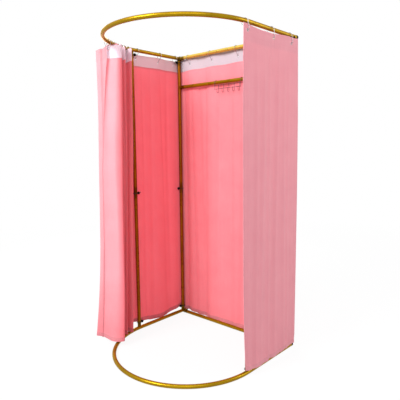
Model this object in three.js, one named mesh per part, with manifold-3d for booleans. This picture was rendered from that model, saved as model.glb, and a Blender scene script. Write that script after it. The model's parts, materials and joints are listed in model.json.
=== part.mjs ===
// Portable fitting room: a D-shaped tube frame with three fixed cloth panels,
// a front curtain that runs on rings round the curved rail, a hanging rail and a rack of hooks.
// Millimetres, +Z up. The origin is on the floor, under the middle of the bottom back rail.
// +X runs along the back rail to the right, +Y points to the back.

import * as THREE from 'three';
import { mergeVertices } from 'three/addons/utils/BufferGeometryUtils.js';
import Module from 'manifold-3d';

const wasm = await Module();
wasm.setup();

// Frame sizes
const armSpacing = 975;
const frameHeight = 2000;
const armLength = 440;
const armOverhang = 42;
const frontPostForward = 17;
const hangingRailDrop = 225;
const tubeDiameter = 25;
const tubeWall = 1.5;
const tubeSides = 12;
const quarterArcSteps = 9;
const mergeTolerance = 1e-4;

// Joints of the frame
const fitGap = 0.3;
const stubLength = 45;
const sleeveLength = 80;
const sleeveBore = 8;
const sleeveRoot = 2;
const postJointDrop = 990;
const plugHeadLength = 4;
const plugSkirtLength = 18;

// Cloth sizes
const clothThickness = 1.2;
const bandThickness = 0.8;
const bandHeight = 84;
const sideStandoff = 20;
const backStandoff = 21.5;
const panelTopDrop = 26;
const sideTopSag = 8;
const leftPanelHem = 44;
const backPanelHem = 26;
const rightPanelHem = 14;
const curtainHem = 30;
const leftFrontReach = 63;
const rightFrontReach = 60;
const sideBackRingInset = 86.6;
const leftFrontRingInset = 111.5;
const rightFrontRingInset = 32;
const backPanelReach = 4.5;
const sideRipple = 7;
const backRipple = 14;
const rippleSteps = 6;

// Rings, eyelets and ties
const ringWire = 3;
const ringUpperRadius = 22;
const ringLowerRadius = 8;
const ringMouth = 2;
const ringUpperSteps = 6;
const ringLowerSteps = 3;
const wireSides = 5;
const eyeletDrop = 40;
const eyeletHole = 12;
const eyeletSides = 8;
const tieBall = 20;
const tieCord = 3;
const tieReachAlong = 18;
const tieReachOut = 15.5;
const tieSteps = 8;
const tieBallSides = 8;
const tieTopDrop = 17;
const tieHemRise = 10;

// Hook rack
const rackWire = 3;
const rackLeft = -122;
const rackHookPitch = 46;
const rackFirstHook = 38;
const rackEndMargin = 6;
const rackUpperDrop = 21;
const rackLowerDrop = 47;
const rackHookDepth = 28;
const rackHookBend = 9;
const rackWeldOffset = 1.9;
const rackBendSteps = 6;

// Counts and shares
const rackHookCount = 5;
const backRingShares = [0.082, 0.263, 0.443, 0.68, 0.898];
const leftRingShare = 0.43;
const rightRingShare = 0.506;
const tieHeightShares = [0, 0.5, 1];

// The gathered curtain, as angles round the arc in degrees and depths out of its line
const curtainRingAngles = [5.6, 9.6, 13.6, 17.5, 21.3, 25.2, 30, 34.5];
const curtainLoopAngles = [7.6, 11.6, 15.6, 19.4, 23.3, 28.6, 27.6];
const curtainLoopDepths = [-46, 46, -44, 62, -54, 104, -74];
// At one ring the cloth turns back on itself, so its step there runs the other way
const curtainStepShares = [1, 1, 1, 1, 1, 1, -1, 1];
const curtainLoopHalfWidth = 9;
const curtainStep = 7;
const curtainStepDepth = 5;
const curtainShoulderShare = 0.72;
const curtainSamples = 2;
const curtainRows = 4;
const curtainInnerLean = 25;
const curtainOuterLean = 95;
const curtainStartShift = 75;
const curtainInnerShift = 80;
const curtainOuterShift = -30;
const curtainSag = 16;
// How sharply the leading folds flare towards the hem, as a power of the drop
const curtainFlarePower = 3;

// Colours
const gold = { color: 0xb7970a, roughness: 0.32, metalness: 0.85 };
const black = { color: 0x0c0c0d, roughness: 0.55, metalness: 0 };
const pink = { color: 0xf5909a, roughness: 0.9, metalness: 0 };
const white = { color: 0xf3e6ee, roughness: 0.85, metalness: 0 };
const steel = { color: 0xbfc2c6, roughness: 0.25, metalness: 0.95 };

// Worked-out sizes
const tubeRadius = tubeDiameter / 2;
const boreRadius = tubeRadius - tubeWall;
const halfSpacing = armSpacing / 2;
const bottomZ = tubeRadius;
const hangingRailHeight = frameHeight - hangingRailDrop;
const postJointHeight = frameHeight - postJointDrop;
const panelTop = frameHeight - panelTopDrop;
const topZ = frameHeight - tubeRadius;
const postX = Math.sqrt(halfSpacing ** 2 - frontPostForward ** 2);
const postBottomZ = bottomZ + tubeRadius + fitGap;
const postTopZ = topZ - tubeRadius - fitGap;
const stubRadius = boreRadius - fitGap;
const degrees = Math.PI / 180;

// Inside the group, lengths along Y are measured from the front arc's centre
const room = new THREE.Group();
room.position.y = -armLength;

function addPart(name, geometry, look) {
  const mesh = new THREE.Mesh(geometry, new THREE.MeshStandardMaterial(look));
  mesh.name = name;
  room.add(mesh);
  return mesh;
}

// Solid modelling with merged vertices
function toSolid(geometry) {
  const bare = geometry.clone();
  bare.deleteAttribute('normal');
  bare.deleteAttribute('uv');
  const merged = mergeVertices(bare, mergeTolerance);
  return new wasm.Manifold(new wasm.Mesh({
    numProp: 3,
    vertProperties: Float32Array.from(merged.attributes.position.array),
    triVerts: Uint32Array.from(merged.index.array),
  }));
}

function toGeometry(solid) {
  const mesh = solid.getMesh();
  const geometry = new THREE.BufferGeometry();
  const places = Float32Array.from(mesh.vertProperties);
  geometry.setAttribute('position', new THREE.BufferAttribute(places, 3));
  geometry.setIndex(new THREE.BufferAttribute(Uint32Array.from(mesh.triVerts), 1));
  return geometry;
}

function join(pieces) {
  return toGeometry(pieces.map(toSolid).reduce((sum, piece) => sum.add(piece)).simplify());
}

function cut(geometry, tools) {
  const body = tools.map(toSolid).reduce((rest, tool) => rest.subtract(tool), toSolid(geometry));
  return toGeometry(body.simplify());
}

// A regular polygon whose flats, not its corners, lie at the radius
function flatSection(radius, sides) {
  const corner = radius / Math.cos(Math.PI / sides);
  const points = [];
  for (let i = 0; i < sides; i += 1) {
    const angle = (i + 0.5) * 2 * Math.PI / sides;
    points.push(new THREE.Vector2(corner * Math.cos(angle), corner * Math.sin(angle)));
  }
  return points;
}

function tubeShape(outer, bore, sides) {
  const shape = new THREE.Shape(flatSection(outer, sides));
  if (bore > 0) shape.holes.push(new THREE.Path(flatSection(bore, sides)));
  return shape;
}

// A straight bar or tube between two points
function straight(from, to, outer, bore = 0, sides = tubeSides) {
  const path = new THREE.LineCurve3(from, to);
  return new THREE.ExtrudeGeometry(tubeShape(outer, bore, sides), { steps: 1, extrudePath: path });
}

// A stepped round piece between stations along a straight axis
function turned(from, direction, stations, sides) {
  const profile = [new THREE.Vector2(0, stations[0][0])];
  for (const [height, radius] of stations) {
    profile.push(new THREE.Vector2(radius / Math.cos(Math.PI / sides), height));
  }
  profile.push(new THREE.Vector2(0, stations[stations.length - 1][0]));
  const piece = new THREE.LatheGeometry(profile, sides, Math.PI / sides);
  const up = new THREE.Vector3(0, 1, 0);
  piece.applyQuaternion(new THREE.Quaternion().setFromUnitVectors(up, direction));
  return piece.translate(from.x, from.y, from.z);
}

// The rail's centre line: a straight arm, then a quarter of the front arc
class RailPath extends THREE.Curve {
  constructor(side, height) {
    super();
    this.side = side;
    this.height = height;
    this.armShare = 1 / (quarterArcSteps + 1);
  }

  getPointAt(share) {
    const start = armLength + armOverhang;
    if (share <= this.armShare) {
      return new THREE.Vector3(this.side * halfSpacing, start * (1 - share / this.armShare), this.height);
    }
    const angle = (share - this.armShare) / (1 - this.armShare) * Math.PI / 2;
    return arcPoint(this.side, angle, 0, this.height);
  }

  getTangentAt(share) {
    const angle = Math.max(0, (share - this.armShare) / (1 - this.armShare)) * Math.PI / 2;
    return new THREE.Vector3(-this.side * Math.sin(angle), -Math.cos(angle), 0);
  }
}

// A point beside the front arc: the angle runs from the side towards the front
function arcPoint(side, angle, depth, height) {
  const radius = halfSpacing + depth;
  return new THREE.Vector3(side * radius * Math.cos(angle), -radius * Math.sin(angle), height);
}

// Rails with welded stubs for the posts and the back rail. The right rails
// end in a narrower sleeve that plugs into the left ones at the front.
function buildRail(name, side, height, inward) {
  const steps = quarterArcSteps + 1;
  const tube = new THREE.ExtrudeGeometry(tubeShape(tubeRadius, boreRadius, tubeSides), {
    steps, extrudePath: new RailPath(side, height),
  });
  const reach = tubeRadius + stubLength;
  const stubs = [[postX, -frontPostForward], [halfSpacing, armLength]].map(([x, y]) => {
    const foot = new THREE.Vector3(side * x, y, height);
    return straight(foot, foot.clone().setZ(height + inward * reach), stubRadius);
  });
  const corner = new THREE.Vector3(side * halfSpacing, armLength, height);
  stubs.push(straight(corner, corner.clone().setX(side * (halfSpacing - reach)), stubRadius));
  if (side > 0) stubs.push(...frontSleeve(height));
  addPart(name, join([tube, ...stubs]), gold);
}

function frontSleeve(height) {
  const half = sleeveLength / 2;
  const piece = (outer, from, to, steps) => new THREE.ExtrudeGeometry(
    tubeShape(outer, sleeveBore, tubeSides), { steps, extrudePath: new FrontPath(height, from, to) },
  );
  return [piece(boreRadius + tubeWall / 2, sleeveRoot, half, 1), piece(boreRadius - fitGap, -half, half, 2)];
}

// Black plugs in the open ends of the arms
function buildPlug(name, side, height) {
  const stations = [
    [-plugSkirtLength, boreRadius - fitGap],
    [fitGap, boreRadius - fitGap],
    [fitGap, tubeRadius],
    [plugHeadLength, tubeRadius],
  ];
  const end = new THREE.Vector3(side * halfSpacing, armLength + armOverhang, height);
  addPart(name, turned(end, new THREE.Vector3(0, 1, 0), stations, tubeSides), black);
}

// A level bar between two tubes, its ends shaped to them
function buildLevelBar(name, height, upright) {
  const bar = straight(
    new THREE.Vector3(-halfSpacing, armLength, height), new THREE.Vector3(halfSpacing, armLength, height),
    tubeRadius, boreRadius,
  );
  const along = upright ? new THREE.Vector3(0, 0, tubeDiameter) : new THREE.Vector3(0, tubeDiameter, 0);
  const ends = [-1, 1].map((side) => {
    const centre = new THREE.Vector3(side * halfSpacing, armLength, height);
    const stubEnd = centre.clone().setZ(frameHeight / 2);
    const across = straight(centre.clone().sub(along), centre.clone().add(along), tubeRadius + fitGap);
    return upright ? [across] : [across, straight(centre, stubEnd, stubRadius + fitGap)];
  });
  addPart(name, cut(bar, ends.flat()), gold);
}

// Posts in two lengths: the upper one ends in a narrower sleeve inside the lower one
const postPlaces = {
  front_left: [-1, postX, -frontPostForward],
  front_right: [1, postX, -frontPostForward],
  back_left: [-1, halfSpacing, armLength],
  back_right: [1, halfSpacing, armLength],
};

function buildPost(name, side, offset, y) {
  const isBack = y > 0;
  const spot = (z) => new THREE.Vector3(side * offset, y, z);
  const tube = (from, to, outer, bore) => straight(spot(from), spot(to), outer, bore);
  addPart(`${name}_lower_post`, tube(postBottomZ, postJointHeight, tubeRadius, boreRadius), gold);
  const joint = postJointHeight + fitGap;
  const pieces = [
    tube(joint, postTopZ, tubeRadius, boreRadius),
    tube(joint + sleeveRoot, joint + sleeveLength / 2, boreRadius + tubeWall / 2, sleeveBore),
    tube(joint - sleeveLength / 2, joint + sleeveLength / 2, boreRadius - fitGap, sleeveBore),
  ];
  if (isBack) {
    const start = spot(hangingRailHeight);
    pieces.push(straight(start, start.clone().setX(side * (offset - tubeRadius - stubLength)), stubRadius));
  }
  addPart(`${name}_upper_post`, join(pieces), gold);
}

// The line through the front joint, along the last straight facet of each rail
class FrontPath extends THREE.Curve {
  constructor(height, from, to) {
    super();
    this.height = height;
    this.from = from;
    this.to = to;
    this.turn = Math.PI / 4 / quarterArcSteps;
  }

  getPointAt(share) {
    const x = this.from + (this.to - this.from) * share;
    const y = -halfSpacing + Math.abs(x) * Math.tan(this.turn);
    return new THREE.Vector3(x, y, this.height);
  }

  getTangentAt(share) {
    const x = this.from + (this.to - this.from) * share;
    return new THREE.Vector3(Math.cos(this.turn), Math.sign(x) * Math.sin(this.turn), 0).normalize();
  }
}

// A path that turns at each of the given points
class PointPath extends THREE.Curve {
  constructor(points) {
    super();
    this.points = points;
  }

  getPointAt(share) {
    const place = share * (this.points.length - 1);
    const i = Math.min(this.points.length - 2, Math.floor(place));
    return this.points[i].clone().lerp(this.points[i + 1], place - i);
  }

  getTangentAt(share) {
    const i = Math.round(share * (this.points.length - 1));
    const before = this.points[Math.max(0, i - 1)];
    const after = this.points[Math.min(this.points.length - 1, i + 1)];
    return after.clone().sub(before).normalize();
  }
}

// Wire bent through the given points, its corners at the wire's radius
function bentWire(points, diameter) {
  const section = flatSection(diameter / 2 * Math.cos(Math.PI / wireSides), wireSides);
  return new THREE.ExtrudeGeometry(new THREE.Shape(section), {
    steps: points.length - 1, extrudePath: new PointPath(points),
  });
}

// A drop-shaped ring: a wide bend over the rail, a narrow one through the eyelet.
// It lies in the plane of the outward direction and +Z. Its mouth is on the inner side.
function dropRing(centre, outward, lowest) {
  const half = Math.PI / ringUpperSteps / 2;
  const seat = tubeRadius / Math.cos(Math.PI / tubeSides) + fitGap + ringWire / 2;
  const upper = new THREE.Vector2(0, seat - ringUpperRadius * Math.cos(half));
  const lower = lowest.clone().add(new THREE.Vector2(0, ringLowerRadius));
  const points = [];
  const addArc = (middle, radius, from, to, count) => {
    for (let i = 0; i <= count; i += 1) {
      const angle = from + (to - from) * i / count;
      const turn = new THREE.Vector2(Math.cos(angle), Math.sin(angle));
      points.push(middle.clone().addScaledVector(turn, radius));
    }
  };
  const mouth = ringMouth / ringUpperRadius;
  const start = new THREE.Vector2(upper.x - ringUpperRadius, upper.y - ringMouth);
  points.push(start);
  addArc(lower, ringLowerRadius, Math.PI, 2 * Math.PI, ringLowerSteps);
  addArc(upper, ringUpperRadius, 0, Math.PI - mouth, ringUpperSteps);
  const placed = points.map((p) => centre.clone().addScaledVector(outward, p.x).setZ(centre.z + p.y));
  return bentWire(placed, ringWire);
}

function holeCutter(centre, direction, radius, reach) {
  const from = centre.clone().addScaledVector(direction, -reach);
  const to = centre.clone().addScaledVector(direction, reach);
  return straight(from, to, radius, 0, eyeletSides);
}

// A strip of cloth that stands on a line in plan, between two distances to the left
// of it. It rises through the given levels and is bent after that.
function hangingStrip(line, near, far, levels, bend = (point) => point) {
  const sideLine = (distance) => line.map((point, i) => {
    const before = line[Math.max(0, i - 1)];
    const after = line[Math.min(line.length - 1, i + 1)];
    const along = after.clone().sub(before).normalize();
    return new THREE.Vector2(point.x - along.y * distance, point.y + along.x * distance);
  });
  const outline = [...sideLine(near), ...sideLine(far).reverse()];
  const steps = levels.length - 1;
  const strip = new THREE.ExtrudeGeometry(new THREE.Shape(outline), {
    depth: steps, steps, bevelEnabled: false,
  });
  const place = strip.attributes.position;
  for (let i = 0; i < place.count; i += 1) {
    const raised = new THREE.Vector3().fromBufferAttribute(place, i);
    const point = bend(raised.setZ(levels[Math.round(raised.z)]));
    place.setXYZ(i, point.x, point.y, point.z);
  }
  return strip;
}

const bandNear = clothThickness / 2 + fitGap;
const bandFar = bandNear + bandThickness;
const ringSink = eyeletHole / 2 - ringWire;
const bandBottom = panelTop - bandHeight;

// A panel outside the posts. Its line starts at one end and has the room on its left.
// It lies close where rings and ties hold it, and swells outwards between them.
function panelSpot(panel, share, swell = 0) {
  const onLine = panel.start.clone().addScaledVector(panel.along, panel.length * share);
  return onLine.addScaledVector(panel.outward, swell);
}

function panelLine(panel) {
  const held = [0, ...panel.ringShares, ...panel.tieShares, 1].sort((a, b) => a - b);
  const widest = Math.max(...held.slice(1).map((share, i) => share - held[i]));
  const line = [panelSpot(panel, 0)];
  held.slice(1).forEach((share, i) => {
    const width = share - held[i];
    const swell = panel.ripple * width / widest;
    for (let step = 1; step <= rippleSteps; step += 1) {
      const part = step / rippleSteps;
      line.push(panelSpot(panel, held[i] + width * part, swell * Math.sin(Math.PI * part) ** 2));
    }
  });
  return line;
}

function buildPanel(name, panel) {
  const line = panelLine(panel);
  const spots = panel.ringShares.map((share) => panelSpot(panel, share));
  const outward = new THREE.Vector3(panel.outward.x, panel.outward.y, 0);
  const eyeletZ = panelTop - eyeletDrop;
  const holes = spots.map((spot) => holeCutter(
    new THREE.Vector3(spot.x, spot.y, eyeletZ), outward, eyeletHole / 2, backStandoff / 2,
  ));
  const cloth = hangingStrip(line, -clothThickness / 2, clothThickness / 2, [panel.hem, panel.top]);
  const band = hangingStrip(line, bandNear, bandFar, [bandBottom, panel.top - fitGap]);
  addPart(`${name}_panel`, cut(cloth, holes), pink);
  addPart(`${name}_panel_band`, cut(band, holes), white);
  spots.forEach((spot, i) => {
    const onRail = panel.onRail(spot);
    const reach = Math.hypot(spot.x - onRail.x, spot.y - onRail.y);
    const lowest = new THREE.Vector2(reach, eyeletZ + ringSink - topZ);
    addPart(`${name}_panel_ring_${i + 1}`, dropRing(onRail, outward, lowest), steel);
  });
}

// Elastic ties: a loop round the post, between it and the panel, closed by a ball
function tieHeights(hem) {
  const low = Math.max(hem + tieHemRise, tubeDiameter + tieBall / 2 + fitGap);
  const high = panelTop - tieTopDrop;
  return tieHeightShares.map((share) => low + (high - low) * share);
}

function buildTie(name, side, offset, y, height) {
  const points = [];
  const opening = tieCord / tieReachOut;
  const towards = y > 0 ? -1 : 1;
  for (let i = 0; i <= tieSteps; i += 1) {
    const angle = opening + (2 * Math.PI - 2 * opening) * i / tieSteps;
    points.push(new THREE.Vector3(
      side * (offset + tieReachOut * Math.sin(angle)), y + towards * tieReachAlong * Math.cos(angle), height,
    ));
  }
  const ball = new THREE.SphereGeometry(tieBall / 2, tieBallSides, tieBallSides / 2);
  ball.translate(side * offset, y + towards * (tieReachAlong + tieBall / 2 - tieCord / 2), height);
  addPart(name, join([bentWire(points, tieCord), ball]), black);
}

// The gathered front curtain in plan
function curtainPlan() {
  const points = [];
  const put = (angle, shift, depth) => {
    const turn = angle * degrees + shift / halfSpacing;
    const spot = arcPoint(-1, turn, depth, 0);
    points.push(new THREE.Vector3(spot.x, spot.y, 0));
  };
  curtainRingAngles.forEach((angle, i) => {
    const before = i > 0 ? Math.sign(curtainLoopDepths[i - 1]) : -Math.sign(curtainLoopDepths[0]);
    const step = curtainStep * curtainStepShares[i];
    put(angle, -step, curtainStepDepth * before);
    put(angle, step, -curtainStepDepth * before);
    if (i === curtainLoopAngles.length) return;
    const depth = curtainLoopDepths[i];
    const middle = curtainLoopAngles[i];
    put(middle, -curtainLoopHalfWidth, depth * curtainShoulderShare);
    put(middle, 0, depth);
    put(middle, curtainLoopHalfWidth, depth * curtainShoulderShare);
  });
  const path = new THREE.CatmullRomCurve3(points, false, 'centripetal');
  const last = points.length - 1;
  const line = [];
  for (let i = 0; i <= last * curtainSamples; i += 1) {
    const point = path.getPoint(i / (last * curtainSamples));
    line.push(new THREE.Vector2(point.x, point.y));
  }
  return line;
}

function curtainBend(point) {
  const radius = Math.hypot(point.x, point.y);
  const angle = Math.atan2(-point.y, -point.x);
  const drop = Math.max(0, bandBottom - point.z) / (bandBottom - curtainHem);
  const last = curtainRingAngles[curtainRingAngles.length - 1] * degrees;
  const depth = radius - halfSpacing;
  const innermost = Math.min(...curtainLoopDepths);
  const outShare = Math.max(0, depth) / Math.max(...curtainLoopDepths);
  const angleShare = Math.min(1, Math.max(0, angle / last));
  const depthShare = Math.min(1, Math.max(0, 1 - depth / innermost));
  const mix = (inner, outer) => inner + (outer - inner) * depthShare;
  const flare = drop ** curtainFlarePower * angleShare;
  const lean = mix(curtainInnerLean, curtainOuterLean) * flare;
  const shift = curtainStartShift * (1 - angleShare) * drop
    + mix(curtainInnerShift, curtainOuterShift) * flare * angleShare;
  const bent = arcPoint(-1, angle + shift / halfSpacing, radius - halfSpacing + lean, point.z);
  bent.z -= curtainSag * outShare ** 2 * (1 - drop);
  return bent;
}

// The front curtain: a gathered strip with a band inside, and one ring for each eyelet
function buildCurtain() {
  const line = curtainPlan();
  const holes = curtainRingAngles.map((angle) => holeCutter(
    arcPoint(-1, angle * degrees, 0, panelTop - eyeletDrop),
    arcPoint(-1, angle * degrees, 0, 0).normalize(), eyeletHole / 2, ringUpperRadius / 2,
  ));
  const strip = (near, far, levels) => cut(hangingStrip(line, near, far, levels, curtainBend), holes);
  const half = clothThickness / 2;
  const levels = [];
  const rowHeight = (bandBottom - curtainHem) / curtainRows;
  for (let i = 0; i <= curtainRows; i += 1) levels.push(curtainHem + rowHeight * i);
  addPart('front_curtain', strip(-half, half, [...levels, panelTop]), pink);
  addPart('front_curtain_band', strip(bandNear, bandFar, [bandBottom, panelTop - fitGap]), white);
  curtainRingAngles.forEach((angle, i) => {
    const centre = arcPoint(-1, angle * degrees, 0, topZ);
    const outward = arcPoint(-1, angle * degrees, 0, 0).normalize();
    const lowest = new THREE.Vector2(0, panelTop - eyeletDrop + ringSink - topZ);
    addPart(`curtain_ring_${i + 1}`, dropRing(centre, outward, lowest), steel);
  });
}

// The hook rack: two hangers over the rail, two long wires and a row of hooks, welded
function buildHookRack() {
  const spot = (x, out, drop) => new THREE.Vector3(x, armLength - out, hangingRailHeight - drop);
  const span = rackFirstHook + (rackHookCount - 1) * rackHookPitch + rackEndMargin;
  const over = tubeRadius / Math.cos(Math.PI / tubeSides) + fitGap + rackWire / 2;
  const half = Math.PI / rackBendSteps / 2;
  const bend = over / Math.cos(half);
  const wiresOut = bend + rackWeldOffset;
  const hooksOut = wiresOut + rackWeldOffset;
  const hanger = (x) => {
    const points = [];
    for (let i = 0; i <= rackBendSteps; i += 1) {
      const angle = Math.PI * i / rackBendSteps;
      points.push(spot(x, -bend * Math.cos(angle), -bend * Math.sin(angle)));
    }
    points.push(spot(x, bend, rackLowerDrop + rackWire));
    return bentWire(points, rackWire);
  };
  const wire = (drop) => bentWire([
    spot(rackLeft - rackWire, wiresOut, drop), spot(rackLeft + span + rackWire, wiresOut, drop),
  ], rackWire);
  const hook = (x) => {
    const points = [spot(x, hooksOut, rackUpperDrop - rackWire)];
    for (let i = 0; i <= rackBendSteps; i += 1) {
      const angle = Math.PI * i / rackBendSteps;
      points.push(spot(
        x, hooksOut + rackHookBend * (1 - Math.cos(angle)),
        rackLowerDrop + rackHookDepth - rackHookBend * (1 - Math.sin(angle)),
      ));
    }
    points.push(spot(x, hooksOut + 2 * rackHookBend, rackLowerDrop));
    return bentWire(points, rackWire);
  };
  const pieces = [hanger(rackLeft), hanger(rackLeft + span), wire(rackUpperDrop), wire(rackLowerDrop)];
  for (let i = 0; i < rackHookCount; i += 1) pieces.push(hook(rackLeft + rackFirstHook + i * rackHookPitch));
  addPart('hook_rack', join(pieces), steel);
}

// Rails
buildRail('top_left_rail', -1, topZ, -1);
buildRail('top_right_rail', 1, topZ, -1);
buildRail('bottom_left_rail', -1, bottomZ, 1);
buildRail('bottom_right_rail', 1, bottomZ, 1);
buildPlug('top_left_end_plug', -1, topZ);
buildPlug('top_right_end_plug', 1, topZ);
buildPlug('bottom_left_end_plug', -1, bottomZ);
buildPlug('bottom_right_end_plug', 1, bottomZ);
buildLevelBar('top_back_rail', topZ, false);
buildLevelBar('bottom_back_rail', bottomZ, false);
buildLevelBar('hanging_rail', hangingRailHeight, true);
for (const [name, [side, offset, y]] of Object.entries(postPlaces)) buildPost(name, side, offset, y);

// Panels
function buildSidePanel(name, side, frontReach, hem, frontRingInset, middleRingShare) {
  const back = armLength + armOverhang;
  const front = -frontPostForward - frontReach;
  const length = back - front;
  const start = new THREE.Vector2(side * (halfSpacing + sideStandoff), side < 0 ? back : front);
  const posts = [-frontPostForward, armLength];
  // Shares along the panel from the end where its line starts
  const shareOf = (y) => (side < 0 ? back - y : y - front) / length;
  const ringPlaces = [back - sideBackRingInset, back - middleRingShare * length, front + frontRingInset];
  buildPanel(name, {
    start, along: new THREE.Vector2(0, side), outward: new THREE.Vector2(side, 0), length,
    ripple: sideRipple, hem, top: panelTop - sideTopSag,
    ringShares: ringPlaces.map(shareOf),
    tieShares: posts.map(shareOf),
    onRail: (spot) => new THREE.Vector3(
      side * Math.sqrt(halfSpacing ** 2 - Math.min(0, spot.y) ** 2), spot.y, topZ,
    ),
  });
}

function buildBackPanel() {
  const half = halfSpacing + backPanelReach;
  buildPanel('back', {
    start: new THREE.Vector2(half, armLength + backStandoff), along: new THREE.Vector2(-1, 0),
    outward: new THREE.Vector2(0, 1), length: 2 * half,
    ripple: backRipple, hem: backPanelHem, top: panelTop,
    ringShares: backRingShares, tieShares: [],
    onRail: (spot) => new THREE.Vector3(spot.x, armLength, topZ),
  });
}

buildSidePanel('left', -1, leftFrontReach, leftPanelHem, leftFrontRingInset, leftRingShare);
buildSidePanel('right', 1, rightFrontReach, rightPanelHem, rightFrontRingInset, rightRingShare);
buildBackPanel();

// Ties at every post
for (const [name, [side, offset, y]] of Object.entries(postPlaces)) {
  const hem = side < 0 ? leftPanelHem : rightPanelHem;
  tieHeights(hem).forEach((height, i) => {
    buildTie(`${name}_${['lower', 'middle', 'upper'][i]}_tie`, side, offset, y, height);
  });
}

buildCurtain();
buildHookRack();

export default room;
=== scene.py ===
# %% [markdown]
# A portable fitting room. It is a D-shaped frame of gold tube with a loop at the
# top and one on the floor, four posts, three fixed cloth panels, a front curtain
# on rings, a hanging rail and a small rack of hooks. The engineering model is
# loaded as a fixed frame, and every finished piece is built round it in metres.

# %% Load the fixed frame
import json
import math

import bmesh
import bpy
import numpy as np
from mathutils import Matrix, Vector

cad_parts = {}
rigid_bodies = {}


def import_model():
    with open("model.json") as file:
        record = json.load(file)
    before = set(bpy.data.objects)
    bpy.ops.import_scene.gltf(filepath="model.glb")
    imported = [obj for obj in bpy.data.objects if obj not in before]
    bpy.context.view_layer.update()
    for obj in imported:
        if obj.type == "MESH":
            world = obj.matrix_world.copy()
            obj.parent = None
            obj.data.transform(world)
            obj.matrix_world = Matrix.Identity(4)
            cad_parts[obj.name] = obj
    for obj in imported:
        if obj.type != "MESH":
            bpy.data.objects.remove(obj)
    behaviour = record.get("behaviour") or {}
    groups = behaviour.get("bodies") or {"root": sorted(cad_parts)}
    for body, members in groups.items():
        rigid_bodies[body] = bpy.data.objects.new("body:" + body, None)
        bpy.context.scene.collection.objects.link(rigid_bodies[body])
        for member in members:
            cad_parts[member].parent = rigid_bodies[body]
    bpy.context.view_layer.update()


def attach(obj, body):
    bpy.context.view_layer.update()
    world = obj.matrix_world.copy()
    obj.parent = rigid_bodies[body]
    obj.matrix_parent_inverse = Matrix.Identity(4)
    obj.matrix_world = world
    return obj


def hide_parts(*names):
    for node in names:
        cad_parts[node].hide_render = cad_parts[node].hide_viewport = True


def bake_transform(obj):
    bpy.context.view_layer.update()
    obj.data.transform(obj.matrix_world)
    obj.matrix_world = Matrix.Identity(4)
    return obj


for leftover in list(bpy.data.objects):
    bpy.data.objects.remove(leftover)
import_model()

# %% [markdown]
# The sizes below are the frame's own, in metres. The floor is at height 0, the
# middle of the back rail is at X = 0 and Y = 0, and the room opens towards -Y.
# The front of both loops is half a circle, so its centre has a name too.

# %% Sizes of the frame
HALF_WIDTH = 0.4875
ARC_CENTRE = Vector((0, -0.44, 0))
ARM_END = 0.042
POST_FORWARD = 0.017
FRONT_POST_X, FRONT_POST_Y = math.sqrt(HALF_WIDTH**2 - POST_FORWARD**2), -0.457
TUBE, WALL, GAP = 0.0125, 0.0015, 0.0003
BORE = TUBE - WALL
BOTTOM_Z, TOP_Z = 0.0125, 1.9875
STUB, STUB_REACH = BORE - GAP, 0.0575
POST_JOINT_Z, HANGING_RAIL_Z = 1.010, 1.775
PANEL_TOP = 1.974
SIDES = {"left": -1, "right": 1}
print("tube radius", TUBE, "top loop at", TOP_Z)

# %% [markdown]
# Three small helpers are used all the way down: one puts an object into the scene,
# one fills in a single input of a node, and one adds a node to any tree with its
# inputs filled in.

# %% Helpers for objects and nodes
def show(obj):
    bpy.context.collection.objects.link(obj)
    return obj


def feed(tree, socket, value):
    """Links a socket to another one, or gives it a value."""
    if isinstance(value, bpy.types.NodeSocket):
        tree.links.new(value, socket)
    else:
        socket.default_value = value


def add(tree, kind, inputs=(), **settings):
    node = tree.nodes.new(kind)
    for key, value in settings.items():
        setattr(node, key, value)
    for key, value in dict(inputs).items():
        feed(tree, node.inputs[key], value)
    return node


print("helpers for objects and nodes ready")

# %% [markdown]
# The camera stands at the front right, at the height of a grown-up's chin. Its
# place and its lens were worked out from the straight edges of the photograph, so
# here they are plain numbers: a position, a heading, a tilt, and a slight roll.

# %% Camera
def look_from(place, heading, tilt, roll, lens):
    """A camera without shift; heading turns from +Y towards +X."""
    h, t, r = (math.radians(a) for a in (heading, tilt, roll))
    ahead = Vector((math.sin(h) * math.cos(t), math.cos(h) * math.cos(t), math.sin(t)))
    side = Vector((math.cos(h), -math.sin(h), 0))
    up = side.cross(ahead)
    right = math.cos(r) * side + math.sin(r) * up
    top = -math.sin(r) * side + math.cos(r) * up
    data = bpy.data.cameras.new("camera")
    data.lens, data.sensor_width = lens, 36
    data.clip_start, data.clip_end = 0.05, 100
    camera = show(bpy.data.objects.new("camera", data))
    turned = Matrix((right, top, -ahead)).transposed().to_4x4()
    camera.matrix_world = Matrix.Translation(place) @ turned
    bpy.context.scene.camera = camera
    return camera


camera = look_from((1.9256, -2.4311, 1.3385), -42.3197, -7.1319, -0.5985, 39.478)
print("camera at", [round(v, 3) for v in camera.matrix_world.translation])

# %% [markdown]
# A studio catalogue picture has a white ground and soft light from large panels.
# The world looks white to the camera and in reflections, but gives only a mild
# fill light. The floor is white too, with a faint shadow under the room that fades
# out further away.

# %% World and floor
FILL_LIGHT = 0.45
FLOOR_REACH, SHADOW_SHARE, SHADOW_FADE = 40, 0.08, (1.0, 5.0)
PAPER_TONE, GROUND_TONE = 0.9, 0.5


def white_for_the_eye(tree, plain, bright):
    """Mixes a plain shader with a bright one that camera and mirror rays see."""
    rays = add(tree, "ShaderNodeLightPath").outputs
    seen = rays["Is Camera Ray"]
    for kind in ("Is Glossy Ray", "Is Transmission Ray"):
        either = add(tree, "ShaderNodeMath", {0: seen, 1: rays[kind]}, operation="MAXIMUM")
        seen = either.outputs[0]
    return add(tree, "ShaderNodeMixShader", {0: seen, 1: plain, 2: bright}).outputs[0]


def empty_tree(owner):
    owner.use_nodes = True
    owner.node_tree.nodes.clear()
    return owner.node_tree


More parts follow.
